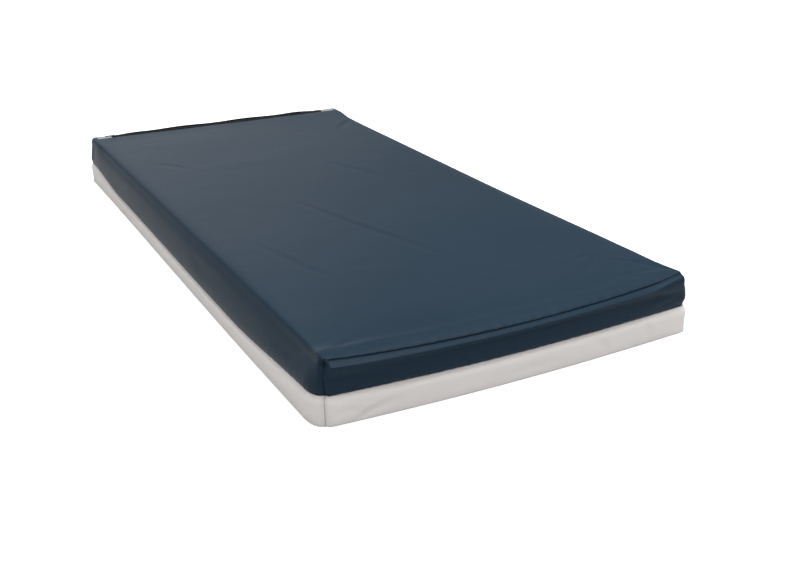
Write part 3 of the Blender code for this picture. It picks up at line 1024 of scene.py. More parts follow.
TOP_CREASES = (
    Crease(((-0.113, -0.035), (-0.059, -0.279), (-0.009, -0.444), (0.031, -0.599)), 0.0020, 0.0095),
    Crease(((-0.336, -0.328), (-0.311, -0.443), (-0.288, -0.551), (-0.273, -0.619)), 0.0015, 0.0085),
    Crease(((0.290, -0.806), (0.312, -0.796), (0.332, -0.790)), 0.0013, 0.010),
    Crease(((0.272, -0.882), (0.318, -0.832), (0.362, -0.786)), 0.0016, 0.011),
    Crease(((0.375, -0.856), (0.407, -0.885), (0.433, -0.933), (0.446, -0.990)), 0.0026, 0.009),
    Crease(((0.318, -0.933), (0.363, -0.937), (0.401, -0.947)), 0.0026, 0.008),
    Crease(((0.349, -0.961), (0.386, -0.975), (0.425, -0.990)), 0.0028, 0.008),
    Crease(((-0.430, -0.990), (-0.400, -0.965), (-0.345, -0.945)), 0.0009, 0.009),
    Crease(((-0.380, -0.998), (-0.345, -0.985), (-0.300, -0.980)), 0.0009, 0.008),
    Crease(((0.345, 0.700), (0.385, 0.760), (0.420, 0.800)), 0.0016, 0.012),
    Crease(((-0.360, 0.560), (-0.310, 0.500), (-0.270, 0.420)), 0.0008, 0.013),
    Crease(((0.120, 0.300), (0.170, 0.180), (0.200, 0.070)), 0.0008, 0.014),
)
FOOT_CREASES = (
    Crease(((-0.430, -1.078), (-0.380, -1.084), (-0.310, -1.092), (-0.240, -1.096)), 0.0022, 0.0055),
    Crease(((-0.425, -1.052), (-0.360, -1.060), (-0.290, -1.062)), 0.0014, 0.007),
    Crease(((0.300, -1.045), (0.370, -1.050), (0.430, -1.062)), 0.0026, 0.008),
    Crease(((0.360, -1.082), (0.405, -1.076), (0.440, -1.070)), 0.0020, 0.006),
    Crease(((-0.448, -1.122), (-0.405, -1.118), (-0.355, -1.126)), 0.0014, 0.006),
    Crease(((-0.446, -1.140), (-0.410, -1.136), (-0.375, -1.144)), 0.0016, 0.006),
    Crease(((-0.398, -1.166), (-0.372, -1.152), (-0.340, -1.140), (-0.300, -1.134)), 0.0030, 0.006),
    Crease(((0.180, -1.112), (0.215, -1.130), (0.235, -1.155)), 0.0018, 0.010),
    Crease(((0.330, -1.110), (0.350, -1.135), (0.352, -1.160)), 0.0016, 0.009),
    Crease(((-0.060, -1.150), (0.020, -1.140), (0.090, -1.146)), 0.0014, 0.009),
)
SIDE_CREASES = (
    Crease(((-0.480, -0.930), (-0.500, -0.880), (-0.512, -0.800)), 0.0020, 0.009),
    Crease(((-0.550, -0.940), (-0.560, -0.860), (-0.575, -0.800)), 0.0022, 0.008),
    Crease(((-0.490, -0.420), (-0.505, -0.300), (-0.500, -0.180)), 0.0014, 0.012),
    Crease(((-0.560, -0.100), (-0.566, 0.060), (-0.560, 0.200)), 0.0018, 0.009),
    Crease(((-0.492, 0.500), (-0.515, 0.600), (-0.520, 0.720)), 0.0016, 0.011),
    Crease(((0.485, -0.950), (0.505, -0.890), (0.515, -0.800)), 0.0026, 0.009),
    Crease(((0.552, -0.900), (0.565, -0.780), (0.572, -0.660)), 0.0018, 0.009),
    Crease(((0.490, -0.200), (0.512, -0.050), (0.506, 0.120)), 0.0016, 0.012),
    Crease(((0.556, 0.300), (0.566, 0.450), (0.560, 0.560)), 0.0018, 0.010),
)
CREASES = TOP_CREASES + FOOT_CREASES + SIDE_CREASES


@dataclass
class Lattice:
    """The net of lines that the cover's cloth is laid out on, over the faces of a plain box."""

    corner_radius: float = 0.016
    edge_radius: float = 0.0095
    floor_radius: float = 0.0028
    side_angle: float = math.radians(60)
    side_start: float = 1.2077
    side_slowing: float = 0.2077
    cell: float = 0.0145
    side_cell: float = 0.0045
    seam_cell: float = 0.0030
    beside_seam: float = 2.4
    foot_zones: tuple[Band, ...] = ((-0.930, 0.0055), (-0.72, 0.010))
    cell_along: float = 0.0172
    head_cell: float = 0.008
    grey_cell: float = 0.012
    navy_cell: float = 0.013
    shoulder: float = 0.028
    shoulder_cell: float = 0.0055
    rim_cell: float = 0.004
    coarse: bool = False

    def breaks(self) -> tuple[list[float], list[float], list[float]]:
        """Where the lines lie across, along and up.

        Returns:
            Three rising lists of places in metres.
        """
        if self.coarse:
            return self._coarse_breaks()
        side, end = SIZES.half_width, SIZES.half_length
        half = spaced(0.0, SIZES.opening_end, self.cell)[1:]
        half += spaced(SIZES.opening_end, side, self.side_cell) + [side]
        across = [-p for p in reversed(half)] + [0.0] + half
        seam, fine = SIZES.foot_seam, self.seam_cell
        along = [-end, -end + fine, seam - fine, seam, seam + fine]
        start = seam + self.beside_seam * fine
        for stop, cell in (*self.foot_zones, (SIZES.opening_low - fine, self.cell_along)):
            along += spaced(start, stop, cell)
            start = stop
        along += [SIZES.opening_low - fine, SIZES.opening_low]
        along += spaced(SIZES.opening_low + self.head_cell, SIZES.head_seam - fine, self.head_cell)
        along += [SIZES.head_seam - fine, SIZES.head_seam, SIZES.head_seam + fine, end - fine, end]
        waist, top = SIZES.waist, SIZES.height
        up = [0.0] + spaced(self.floor_radius, waist - fine, self.grey_cell)
        up += [waist - fine, waist] + spaced(waist + fine, top - self.shoulder, self.navy_cell)
        up += spaced(top - self.shoulder, top - self.edge_radius, self.shoulder_cell)
        up += spaced(top - self.edge_radius, top, self.rim_cell) + [top]
        return across, along, up

    def _coarse_breaks(self) -> tuple[list[float], list[float], list[float]]:
        """Fewer lines, for the form that the cloth comes to rest on.

        Returns:
            Three rising lists of places in metres.
        """
        side, end, top = SIZES.half_width, SIZES.half_length, SIZES.height
        edges = (0.0, 0.006, 0.012, 0.030)
        half = spaced(0.0, side - edges[-1], 0.07)[1:] + [side - e for e in reversed(edges)]
        across = [-p for p in reversed(half)] + [0.0] + half
        half = spaced(0.0, end - 0.12, 0.10)[1:] + spaced(end - 0.12, end - 0.03, 0.03)
        half += [end - e for e in reversed(edges)]
        along = [-p for p in reversed(half)] + [0.0] + half
        up = [0.0, 0.006, 0.012, 0.045, SIZES.waist, 0.095, 0.12, top - 0.012, top - 0.006, top]
        return across, along, up

    def build(self) -> tuple[Array, list[tuple[int, ...]], list[Panel], list[list[Band]]]:
        """Lays the lattice out.

        Returns:
            The points on the plain box, the faces, each face's panel, and its corners on the cut.
        """
        lines = self.breaks()
        last = tuple(len(line) - 1 for line in lines)
        numbers: dict[tuple[int, int, int], int] = {}
        points: list[Place] = []
        faces, panels, charts = [], [], []
        for axis, others in ((0, (1, 2)), (1, (0, 2)), (2, (0, 1))):
            for level in (0, last[axis]):
                outward = level > 0
                for a in range(last[others[0]]):
                    for b in range(last[others[1]]):
                        ring = [(a, b), (a + 1, b), (a + 1, b + 1), (a, b + 1)]
                        if outward == (axis == 1):
                            ring.reverse()
                        corners = []
                        for step in ring:
                            key = [0, 0, 0]
                            key[axis] = level
                            key[others[0]], key[others[1]] = step
                            key = tuple(key)
                            if key not in numbers:
                                numbers[key] = len(points)
                                points.append(tuple(lines[n][key[n]] for n in range(3)))
                            corners.append(numbers[key])
                        centre = np.mean([points[c] for c in corners], axis=0)
                        faces.append(tuple(corners))
                        panels.append(self.panel_at(centre, axis == 2 and outward))
                        charts.append([self.on_cut(points[c], axis, outward) for c in corners])
        return np.array(points), faces, panels, charts

    @staticmethod
    def panel_at(centre: Array, on_top: bool) -> Panel:
        """The panel that a face belongs to.

        Args:
            centre: The face's middle on the plain box.
            on_top: Whether it looks up.

        Returns:
            The panel.
        """
        x, y, z = centre
        if on_top and abs(x) < SIZES.opening_end and SIZES.opening_low < y < SIZES.head_seam:
            return Panel.OPENING
        upper = z > SIZES.waist
        if y < SIZES.foot_seam:
            return Panel.FOOT_END if upper else Panel.BASE_FOOT
        if y > SIZES.head_seam:
            return Panel.HEAD_END if upper else Panel.BASE_HEAD
        return Panel.TOP_WRAP if upper else Panel.BASE_WRAP

    @staticmethod
    def on_cut(point: Sequence[float], axis: int, outward: bool) -> tuple[float, float]:
        """The point's place on the flat cloth, with sides and ends folded out.

        Args:
            point: A point of the plain box.
            axis: The axis that the face looks along.
            outward: Whether the face looks to the axis's positive end.

        Returns:
            The place across and along, in metres.
        """
        x, y, z = point
        drop = SIZES.height - z
        sign = 1 if outward else -1
        if axis == 0:
            return sign * (SIZES.half_width + drop), y
        if axis == 1:
            return x, sign * (SIZES.half_length + drop)
        return x, y

    def rounded(self, net: Array) -> Array:
        """Turns points of the plain box into points of the rounded form.

        Args:
            net: Rows of x, y and z on the plain box.

        Returns:
            The same points with upright corners and edges rounded.
        """
        radius = self.corner_radius
        inner = np.array([SIZES.half_width - radius, SIZES.half_length - radius])
        size = np.abs(net[:, :2])
        over = np.clip(size - inner, 0.0, radius)
        u, v = over[:, 0], over[:, 1]
        reach = np.maximum(u, v)
        safe = np.maximum(reach, 1e-12)
        s, t = v / safe, u / safe
        to_side = self.side_angle * (self.side_start * s - self.side_slowing * s**2)
        to_end = math.pi / 2 - (math.pi / 2 - self.side_angle) * t
        angle = np.where(u >= v, to_side, to_end)
        inset = radius - reach
        top_gap, floor_gap = SIZES.height - net[:, 2], net[:, 2]
        gap = np.minimum(top_gap, floor_gap)
        edge = np.where(top_gap <= floor_gap, self.edge_radius, self.floor_radius)
        near = (inset < edge) & (gap < edge)
        on_face = math.pi / 4 * (1 - inset / edge)
        on_side = math.pi / 2 - math.pi / 4 * (1 - gap / edge)
        turn = np.where(gap <= 1e-9, on_face, on_side)
        inset = np.where(near, edge * (1 - np.sin(turn)), inset)
        level = np.where(near, edge * (1 - np.cos(turn)), gap)
        reach = np.where(reach > 0, radius - inset, 0.0)
        base = np.minimum(size, inner)
        plan = base + np.stack([np.cos(angle), np.sin(angle)], axis=1) * reach[:, None]
        height = np.where(top_gap <= floor_gap, SIZES.height - level, level)
        return np.column_stack([plan * np.sign(net[:, :2]), height])


@dataclass(frozen=True)
class FootRoll:
    """The puffed roll of cloth below the seam along the top of the foot end."""

    width_middle: float = 0.0340
    width_end: float = 0.0560
    rise_middle: float = 0.0085
    rise_end: float = 0.0100
    fullness: float = 7.5
    upper_power: float = 1.1
    ends: Band = (0.012, 0.001)
    lift: float = 0.10
    slump: float = 0.0058
    slump_more: float = 0.4
    slump_run: float = 0.0115
    slump_reach: float = 0.0090
    slump_ends: Band = (0.34, 0.43)

    def move(self, x: Array, y: Array, z: Array) -> Array:
        """How the roll moves the cloth.

        Args:
            x: The points' places across, on the plain box.
            y: Their places along.
            z: Their heights.

        Returns:
            Rows of moves: out over the foot end, and down below the seam.
        """
        wide = (np.abs(x) / SIZES.half_width) ** 3
        width = self.width_middle + (self.width_end - self.width_middle) * wide
        rise = self.rise_middle + (self.rise_end - self.rise_middle) * wide
        run = (SIZES.foot_seam - y) + (SIZES.height - z)
        below_seam = y < SIZES.foot_seam + MERGE
        share = np.clip(run / width, 0.0, 1.0)
        bump = rise * self.fullness * share**self.upper_power * (1 - share) ** 2
        fade = 1 - smooth(np.abs(x), *(SIZES.half_width - gap for gap in self.ends))
        out = np.where(below_seam & (run < width), bump, 0.0) * fade
        hang = hill(run - self.slump_run, self.slump_reach)
        slump = np.where(below_seam & (z > SIZES.waist), hang, 0.0) * fade
        slump *= self.slump * (1 + self.slump_more * wide) * (1 - smooth(x, *self.slump_ends))
        return np.column_stack([np.zeros_like(out), -out, self.lift * out - slump])


@dataclass(frozen=True)
class SeamRelief:
    """The grooves along the seams, and the small gathers that the sewing leaves."""

    edge: float = 0.001
    floor_edge: float = 0.004
    waist_pinch: float = 0.0034
    waist_reach: float = 0.009
    stitch_groove: float = 0.0011
    stitch_reach: float = 0.0022
    waist_puff: float = 0.0012
    waist_puff_drop: float = 0.018
    waist_gather: float = 0.00045
    gather_reach: float = 0.012
    foot_groove: float = 0.0056
    foot_groove_inside: float = 0.0060
    foot_groove_outside: float = 0.0040
    foot_gather: float = 0.0006
    foot_gather_from: float = 0.006
    foot_pillow: float = 0.0034
    foot_pillow_from: float = 0.030
    foot_pillow_reach: float = 0.020
    foot_fade: float = 0.85
    foot_fade_ends: Band = (0.38, 0.44)
    upright_groove: float = 0.0005
    upright_reach: float = 0.0035
    upright_gather: float = 0.0004
    upright_gather_reach: float = 0.010

    def lift(self, x: Array, y: Array, z: Array) -> Array:
        """How far the seams raise the cloth along its normals.

        Args:
            x: The points' places across, on the plain box.
            y: Their places along.
            z: Their heights.

        Returns:
            Heights in metres, below 0 in a groove.
        """
        below_top = z < SIZES.height - self.edge
        lift = np.where((z > self.floor_edge) & below_top, self._waist(x, y, z - SIZES.waist), 0.0)
        shown = 1 - self.foot_fade * smooth(x, *self.foot_fade_ends)
        on_top = z > SIZES.height - self.edge
        lift += np.where(on_top, self._foot(x, y - SIZES.foot_seam) * shown, 0.0)
        on_side = (np.abs(x) > SIZES.half_width - self.edge) & below_top
        gathers = np.sin(FULL_TURN * z / 0.027 + 0.8)
        for seam in (SIZES.foot_seam, SIZES.head_seam):
            gap = y - seam
            line = -self.upright_groove * hill(gap, self.upright_reach)
            fade = np.exp(-np.abs(gap) / self.upright_gather_reach)
            line += self.upright_gather * gathers * fade
            lift += np.where(on_side, line, 0.0)
        return lift

    def _waist(self, x: Array, y: Array, above: Array) -> Array:
        """The waist seam's groove, the puff below it and its gathers."""
        gathers = np.sin(FULL_TURN * (x + y) / 0.023 + 1.7 * np.sin(FULL_TURN * (x - y) / 0.11))
        lift = -self.waist_pinch * hill(above, self.waist_reach)
        lift -= self.stitch_groove * hill(above, self.stitch_reach)
        lift += self.waist_puff * hill(above + self.waist_puff_drop, self.gather_reach)
        return lift + self.waist_gather * gathers * np.exp(-np.abs(above) / self.gather_reach)

    def _foot(self, x: Array, inside: Array) -> Array:
        """The foot seam's groove in the top, with its gathers and the pillow that it draws up."""
        width = np.where(inside > 0, self.foot_groove_inside, self.foot_groove_outside)
        gathers = np.sin(FULL_TURN * x / 0.031 + 2.3 * np.sin(FULL_TURN * x / 0.17))
        groove = -self.foot_groove * np.exp(-np.abs(inside) / width)
        groove += self.foot_gather * gathers * hill(inside - self.foot_gather_from, self.gather_reach)
        return groove + self.foot_pillow * hill(inside - self.foot_pillow_from, self.foot_pillow_reach)


@dataclass(frozen=True)
class Bulge:
    """A soft bulge beside an upright foot corner, or a dent where its size is below 0.

    The size, the reach from the corner, the level of its middle and how far it goes up and down from
    there are in metres. Its direction is for the right corner.
    """

    size: float
    reach: float
    level: float
    height: float
    towards: Place


FULLNESS = Bulge(0.0085, 0.060, 0.124, 0.036, (0.7, -0.4, 0.0))
PINCH = Bulge(-0.0050, 0.040, SIZES.waist + 0.006, 0.011, (0.7, -0.4, 0.0))
PEAK = Bulge(0.0032, 0.050, SIZES.height, 0.016, (0.8, -0.3, 0.9))


@dataclass(frozen=True)
class FootCorners:
    """The tuck where three panels meet at each foot corner, and the fullness round it."""

    tuck: float = 0.0130
    tuck_reach: float = 0.0090
    tuck_drop: float = 0.013
    tuck_flatness: float = 0.8
    tuck_towards: Place = (-0.62, 0.70, -0.15)
    left_share: float = 0.35
    bulges: tuple[Bulge, ...] = (FULLNESS, PINCH, PEAK)

    def move(self, x: Array, y: Array, z: Array) -> Array:
        """How the corners move the cloth.

        Args:
            x: The points' places across, on the plain box.
            y: Their places along.
            z: Their heights.

        Returns:
            Rows of moves.
        """
        move = np.zeros((len(x), 3))
        for sign in (-1, 1):
            mirrored = np.array([sign, 1, 1])
            beside = x - sign * SIZES.half_width
            level = (z - (SIZES.height - self.tuck_drop)) * self.tuck_flatness
            gap = np.sqrt(beside**2 + (y - SIZES.foot_seam) ** 2 + level**2)
            pit = self.tuck * hill(gap, self.tuck_reach)
            move += pit[:, None] * (mirrored * self.tuck_towards)
            share = 1.0 if sign > 0 else self.left_share
            near = np.hypot(beside, y + SIZES.half_length)
            for bulge in self.bulges:
                out = share * hill(near, bulge.reach) * hill(z - bulge.level, bulge.height) * bulge.size
                move += out[:, None] * (mirrored * bulge.towards)
        return move


CLOTH_FEEL = {
    "quality": 4,
    "mass": 0.35,
    "tension_stiffness": 30,
    "compression_stiffness": 30,
    "shear_stiffness": 8,
    "bending_stiffness": 8.0,
    "tension_damping": 15,
    "compression_damping": 15,
    "air_damping": 3,
}


@dataclass
class Cover:
    """The cover: one bag of cloth that is formed, draped on its foam and cut into its panels."""

    settling: Settling = field(default_factory=Settling)
    lattice: Lattice = field(default_factory=Lattice)
    roll: FootRoll = field(default_factory=FootRoll)
    seams: SeamRelief = field(default_factory=SeamRelief)
    corners: FootCorners = field(default_factory=FootCorners)
    wall: float = 0.0009
    slack: float = 0.0012
    noise: float = 0.0003
    frames: int = 24
    cap: float = 0.0034
    calming: int = 14
    seed: int = 11
    foam_gap: float = 0.0030
    held_reach: float = 0.001
    held_before_zip: Band = (0.06, 0.01)
    creased_before_zip: Band = (0.03, 0.01)
    # Painted shade along the seams: its reach and strength, and the darker painted line along the top of
    # the foot seam.
    seam_shade_reach: float = 0.0035
    seam_shade: float = 0.30
    foot_line_shade: float = 0.95
    foot_line_shade_reach: float = 0.0034
    hem_out: float = 0.0001
    hem_in: float = 0.0004
    welt_route: list[Place] = field(default_factory=list)

    def build(self) -> None:
        """Forms the bag, cuts it into panels and keeps the line that the foot seam follows."""
        bag = self._bag()
        self._drape(bag)
        fine = self._subdivided(bag)
        self._add_details(fine)
        panels = {p: self._cut(fine, p) for p in Panel if p is not Panel.OPENING}
        self.welt_route = self._seam_route(panels[Panel.FOOT_END].data)
        remove(bag)
        bpy.data.meshes.remove(fine)
        self._dress(panels)

    # Forming

    def _bag(self) -> bpy.types.Object:
        """The closed bag of cloth in its settled form.

        Returns:
            The bag, which carries its net, its panels' numbers and its cut.
        """
        net, faces, panels, charts = self.lattice.build()
        mesh = bpy.data.meshes.new("bag")
        mesh.from_pydata(self.settling.move(self.lattice.rounded(net)).tolist(), [], faces)
        carried = mesh.attributes.new("net", "FLOAT_VECTOR", "POINT")
        carried.data.foreach_set("vector", net.astype(np.float32).ravel())
        mesh.polygons.foreach_set("material_index", [p.value for p in panels])
        chart = mesh.uv_layers.new(name=CUT_CHART)
        flat = np.array([c for face in charts for c in face], np.float32)
        chart.data.foreach_set("uv", flat.ravel())
        for panel in Panel:
            mesh.materials.append(bpy.data.materials.new(panel.name.lower() + "_marker"))
        mesh.update()
        return new_object("bag", mesh)

    def _foam_form(self) -> bpy.types.Object:
        """The outside of the foam, for the cloth to rest on.

        Returns:
            The form, set to hold cloth up.
        """
        lattice = Lattice(coarse=True)
        net, faces, _, _ = lattice.build()
        mesh = bpy.data.meshes.new("foam_form")
        mesh.from_pydata(self.settling.move(lattice.rounded(net)).tolist(), [], faces)
        write_points(mesh, read_points(mesh) - read_normals(mesh) * self.foam_gap)
        form = new_object("foam_form", mesh)
        form.modifiers.new("collision", "COLLISION")
        form.collision.thickness_outer = 0.001
        form.collision.cloth_friction = 20
        return form

    def _drape(self, bag: bpy.types.Object) -> None:
        """Lets the slack cloth settle on the foam, held at its seams, its floor and its zip.

        Args:
            bag: The bag, whose points are moved.
        """
        mesh = bag.data
        net = read_net(mesh)
        start = read_points(mesh)
        x, y, z = net.T
        held = np.maximum.reduce(
            [
                (z < SIZES.waist + self.held_reach).astype(float),
                smooth(y, *(SIZES.opening_low - gap for gap in self.held_before_zip)),
                (np.abs(y - SIZES.foot_seam) < self.held_reach).astype(float),
            ]
        )
        draw = np.random.default_rng(self.seed)
        free = (1 - held)[:, None]
        write_points(mesh, start + draw.normal(0.0, self.noise, start.shape) * free)
        group = bag.vertex_groups.new(name="held")
        for number in np.nonzero(held > 0)[0]:
            group.add([int(number)], float(held[number]), "REPLACE")
        form = self._foam_form()
        cloth = bag.modifiers.new("cloth", "CLOTH")
        for name, value in CLOTH_FEEL.items():
            setattr(cloth.settings, name, value)
        cloth.settings.vertex_group_mass = "held"
        cloth.settings.shrink_min = -self.slack
        cloth.collision_settings.distance_min = 0.001
        cloth.collision_settings.collision_quality = 2
        cloth.point_cache.frame_start = 1
        cloth.point_cache.frame_end = self.frames
        scene = bpy.context.scene
        scene.frame_start, scene.frame_end = 1, self.frames
        for number in range(1, self.frames + 1):
            scene.frame_set(number)
        draped = evaluated_mesh(bag)
        moved = self._calmed(mesh, read_points(draped) - start) * free
        bag.modifiers.remove(cloth)
        bpy.data.meshes.remove(draped)
        remove(form)
        length = np.linalg.norm(moved, axis=1, keepdims=True)
        moved *= np.minimum(1.0, self.cap / np.maximum(length, 1e-9))
        write_points(mesh, start + moved)
        scene.frame_set(1)
        LOG.info("draped: largest move %.1f mm", float(length.max()) * 1000)

    def _calmed(self, mesh: bpy.types.Mesh, moved: Array) -> Array:
        """Evens the cloth's moves out, as the coating's stiffness does to folds narrower than a hand.

        Args:
            mesh: The bag.
            moved: How far the simulation moved each point.

        Returns:
            The moves, each one blended with its neighbours' a few times.
        """
        ends = np.empty(len(mesh.edges) * 2, np.int64)
        mesh.edges.foreach_get("vertices", ends)
        one, other = ends.reshape(-1, 2).T
        count = np.bincount(ends, minlength=len(moved))[:, None]
        for _ in range(self.calming):
            total = np.zeros_like(moved)
            np.add.at(total, one, moved[other])
            np.add.at(total, other, moved[one])
            moved = 0.5 * moved + 0.5 * total / count
        return moved

    @staticmethod
    def _subdivided(bag: bpy.types.Object) -> bpy.types.Mesh:
        """The bag with its cloth made finer once."""
        modifier = bag.modifiers.new("finer", "SUBSURF")
        modifier.levels = 1
        modifier.render_levels = 1
        modifier.use_limit_surface = False
        mesh = evaluated_mesh(bag)
        bag.modifiers.remove(modifier)
        return mesh

    # Details

    def _add_details(self, mesh: bpy.types.Mesh) -> None:
        """Moves the cloth into the foot roll, the seams' grooves, the corners and the creases, and marks
        the painted shade along the seams.

        Args:
            mesh: The bag's fine mesh.
        """
        x, y, z = read_net(mesh).T
        points, normals = read_points(mesh), read_normals(mesh)
        lift = self.seams.lift(x, y, z)
        still = 1 - smooth(y, *(SIZES.opening_low - gap for gap in self.creased_before_zip))
        across, along = self._unfolded(x, y, z)
        for crease in CREASES:
            lift += crease.height(across, along) * still
        points = points + normals * lift[:, None] + self.roll.move(x, y, z) + self.corners.move(x, y, z)
        write_points(mesh, points)
        self._paint_seam_shade(mesh, y, z)

    @staticmethod
    def _unfolded(x: Array, y: Array, z: Array) -> tuple[Array, Array]:
        """Where points of the plain box lie on the cloth, with sides and foot end folded out flat."""
        drop = np.where(z > 1e-6, SIZES.height - z, 1.0)
        on_foot = y < -SIZES.half_length + 1e-5
        on_side = (np.abs(x) > SIZES.half_width - 1e-5) & ~on_foot
        return x + np.sign(x) * drop * on_side, y - drop * on_foot

    def _paint_seam_shade(self, mesh: bpy.types.Mesh, y: Array, z: Array) -> None:
        """Marks painted shade along the seams, darkest on the line along the top of the foot seam, for
        the materials to read.
        """
        from_waist = np.where(z < SIZES.height - self.seams.edge, np.abs(z - SIZES.waist), 1.0)
        from_ends = np.minimum(np.abs(y - SIZES.foot_seam), np.abs(y - SIZES.head_seam))
        seam_shade = self.seam_shade * np.exp(-np.minimum(from_waist, from_ends) / self.seam_shade_reach)
        # The dark painted line of shade along the top of the foot seam, where the crease's groove is.
        from_line = np.abs(y - SIZES.foot_seam) + (SIZES.height - z)
        seam_shade = np.maximum(seam_shade, self.foot_line_shade * np.exp(-from_line / self.foot_line_shade_reach))
        mark = mesh.attributes.new(SEAM_SHADE_MARK, "FLOAT", "POINT")
        mark.data.foreach_set("value", seam_shade.astype(np.float32))

    # Cutting

    def _cut(self, bag: bpy.types.Mesh, panel: Panel) -> bpy.types.Object:
        """Cuts one panel out of the bag and turns its edges in.

        Args:
            bag: The whole bag.
            panel: The panel to keep.

        Returns:
            The panel's object, one layer of cloth.
        """
        shape = bmesh.new()
        shape.from_mesh(bag)
        others = [f for f in shape.faces if f.material_index != panel.value]
        bmesh.ops.delete(shape, geom=others, context="FACES")
        shape.normal_update()
        moves = {}
        for vertex in shape.verts:
            if vertex.is_boundary:
                inner = [e.other_vert(vertex) for e in vertex.link_edges if not e.is_boundary]
                away = Vector()
                for other in inner:
                    away += (other.co - vertex.co).normalized()
                step = away.normalized() * self.hem_out if away.length > 0 else Vector()
                moves[vertex] = step - vertex.normal * self.hem_in
        for vertex, move in moves.items():
            vertex.co += move
        for face in shape.faces:
            face.material_index = 0
            face.smooth = True
        mesh = bpy.data.meshes.new(panel.name.lower())
        shape.to_mesh(mesh)
        shape.free()
        return new_object(f"{PANEL_NODES[panel]}_cloth", mesh)

    @staticmethod
    def _seam_route(mesh: bpy.types.Mesh) -> list[Place]:
        """The line of the foot seam along the top of the foot panel."""
        net = read_net(mesh)
        points = read_points(mesh)
        on_line = (np.abs(net[:, 1] - SIZES.foot_seam) < 1e-4) & (net[:, 2] > SIZES.height - 1e-4)
        on_line &= np.abs(net[:, 0]) < SIZES.half_width - 0.004
        order = np.argsort(net[on_line, 0])
        return [tuple(p) for p in points[on_line][order]]

    def _dress(self, panels: dict[Panel, bpy.types.Object]) -> None:
        """Gives the panels their thickness, materials and bodies.

        Args:
            panels: The panels' objects.
        """
        navy, grey = NAVY_CLOTH.material(), GREY_CLOTH.material()
        drop_upper, drop_lower = SIZES.height - SIZES.waist, SIZES.waist
        corner = self.lattice.corner_radius * math.pi / 4
        wrap_length = SIZES.head_seam - SIZES.foot_seam
        end_width = 2 * (SIZES.half_width - self.lattice.corner_radius + corner)
        hem = SIZES.half_length - SIZES.head_seam
        opening = 2 * SIZES.opening_end * (SIZES.head_seam - SIZES.opening_low)
        wrap_width = 2 * (SIZES.half_width + drop_upper)
        cuts = {
            Panel.TOP_WRAP: (wrap_width, wrap_length, wrap_width * wrap_length - opening),
            Panel.FOOT_END: (end_width, drop_upper + hem, None),
            Panel.HEAD_END: (end_width, drop_upper + hem, None),
            Panel.BASE_WRAP: (2 * (SIZES.half_width + drop_lower), wrap_length, None),
            Panel.BASE_FOOT: (end_width, drop_lower + hem, None),
            Panel.BASE_HEAD: (end_width, drop_lower + hem, None),
        }
        for panel, made in panels.items():
            add_wall(made, self.wall)
            upper = panel.value <= Panel.HEAD_END.value
            material, slot = (navy, Slot.COVER_NAVY) if upper else (grey, Slot.COVER_GREY)
            finish_piece(made, Body.MATTRESS, material, [PANEL_NODES[panel]])


@dataclass
class FootWelt:
    """The folded edges of the foot seam, a thin ridge in the groove between top and roll, in a navy
    darker than the cover that paints the groove's shade.
    """

    route: list[Place]
    radius: float = 0.0010
    lift: float = 0.3

    def build(self) -> None:
        """Sweeps the ridge along the seam."""
        line = bpy.data.curves.new("foot_seam_welt_line", "CURVE")
        line.dimensions = "3D"
        line.bevel_depth = self.radius
        line.bevel_resolution = 2
        line.use_fill_caps = True
        spline = line.splines.new("POLY")
        spline.points.add(len(self.route) - 1)
        for point, place in zip(spline.points, self.route):
            point.co = (place[0], place[1], place[2] + self.radius * self.lift, 1.0)
        holder = new_object("foot_seam_welt_holder", line)
        mesh = evaluated_mesh(holder)
        bpy.data.objects.remove(holder, do_unlink=True)
        bpy.data.curves.remove(line)
        shape = bmesh.new()
        shape.from_mesh(mesh)
        bmesh.ops.remove_doubles(shape, verts=shape.verts, dist=MERGE)
        bmesh.ops.recalc_face_normals(shape, faces=shape.faces)
        shape.to_mesh(mesh)
        shape.free()
        mesh.shade_smooth()
        made = new_object("foot_seam_ridge", mesh)
        add_chart(made.data, lambda p: (p[:, 0], p[:, 1] + p[:, 2]))
        finish_piece(made, Body.MATTRESS, WELT_SHADE_CLOTH.material(), ["foot_seam_welt"])


def add_chart(mesh: bpy.types.Mesh, flatten: Callable[[Array], tuple[Array, Array]]) -> None:
    """Gives a mesh the chart of its flat cloth.

    Args:
        mesh: The mesh.
        flatten: Turns points into places across and along the cloth, in metres.
    """
    across, along = flatten(read_points(mesh))
    layer = mesh.uv_layers.get(CUT_CHART) or mesh.uv_layers.new(name=CUT_CHART)
    corners = np.empty(len(mesh.loops), np.int64)
    mesh.loops.foreach_get("vertex_index", corners)
    flat = np.column_stack([across[corners], along[corners]])
    layer.data.foreach_set("uv", flat.astype(np.float32).ravel())


# The zip


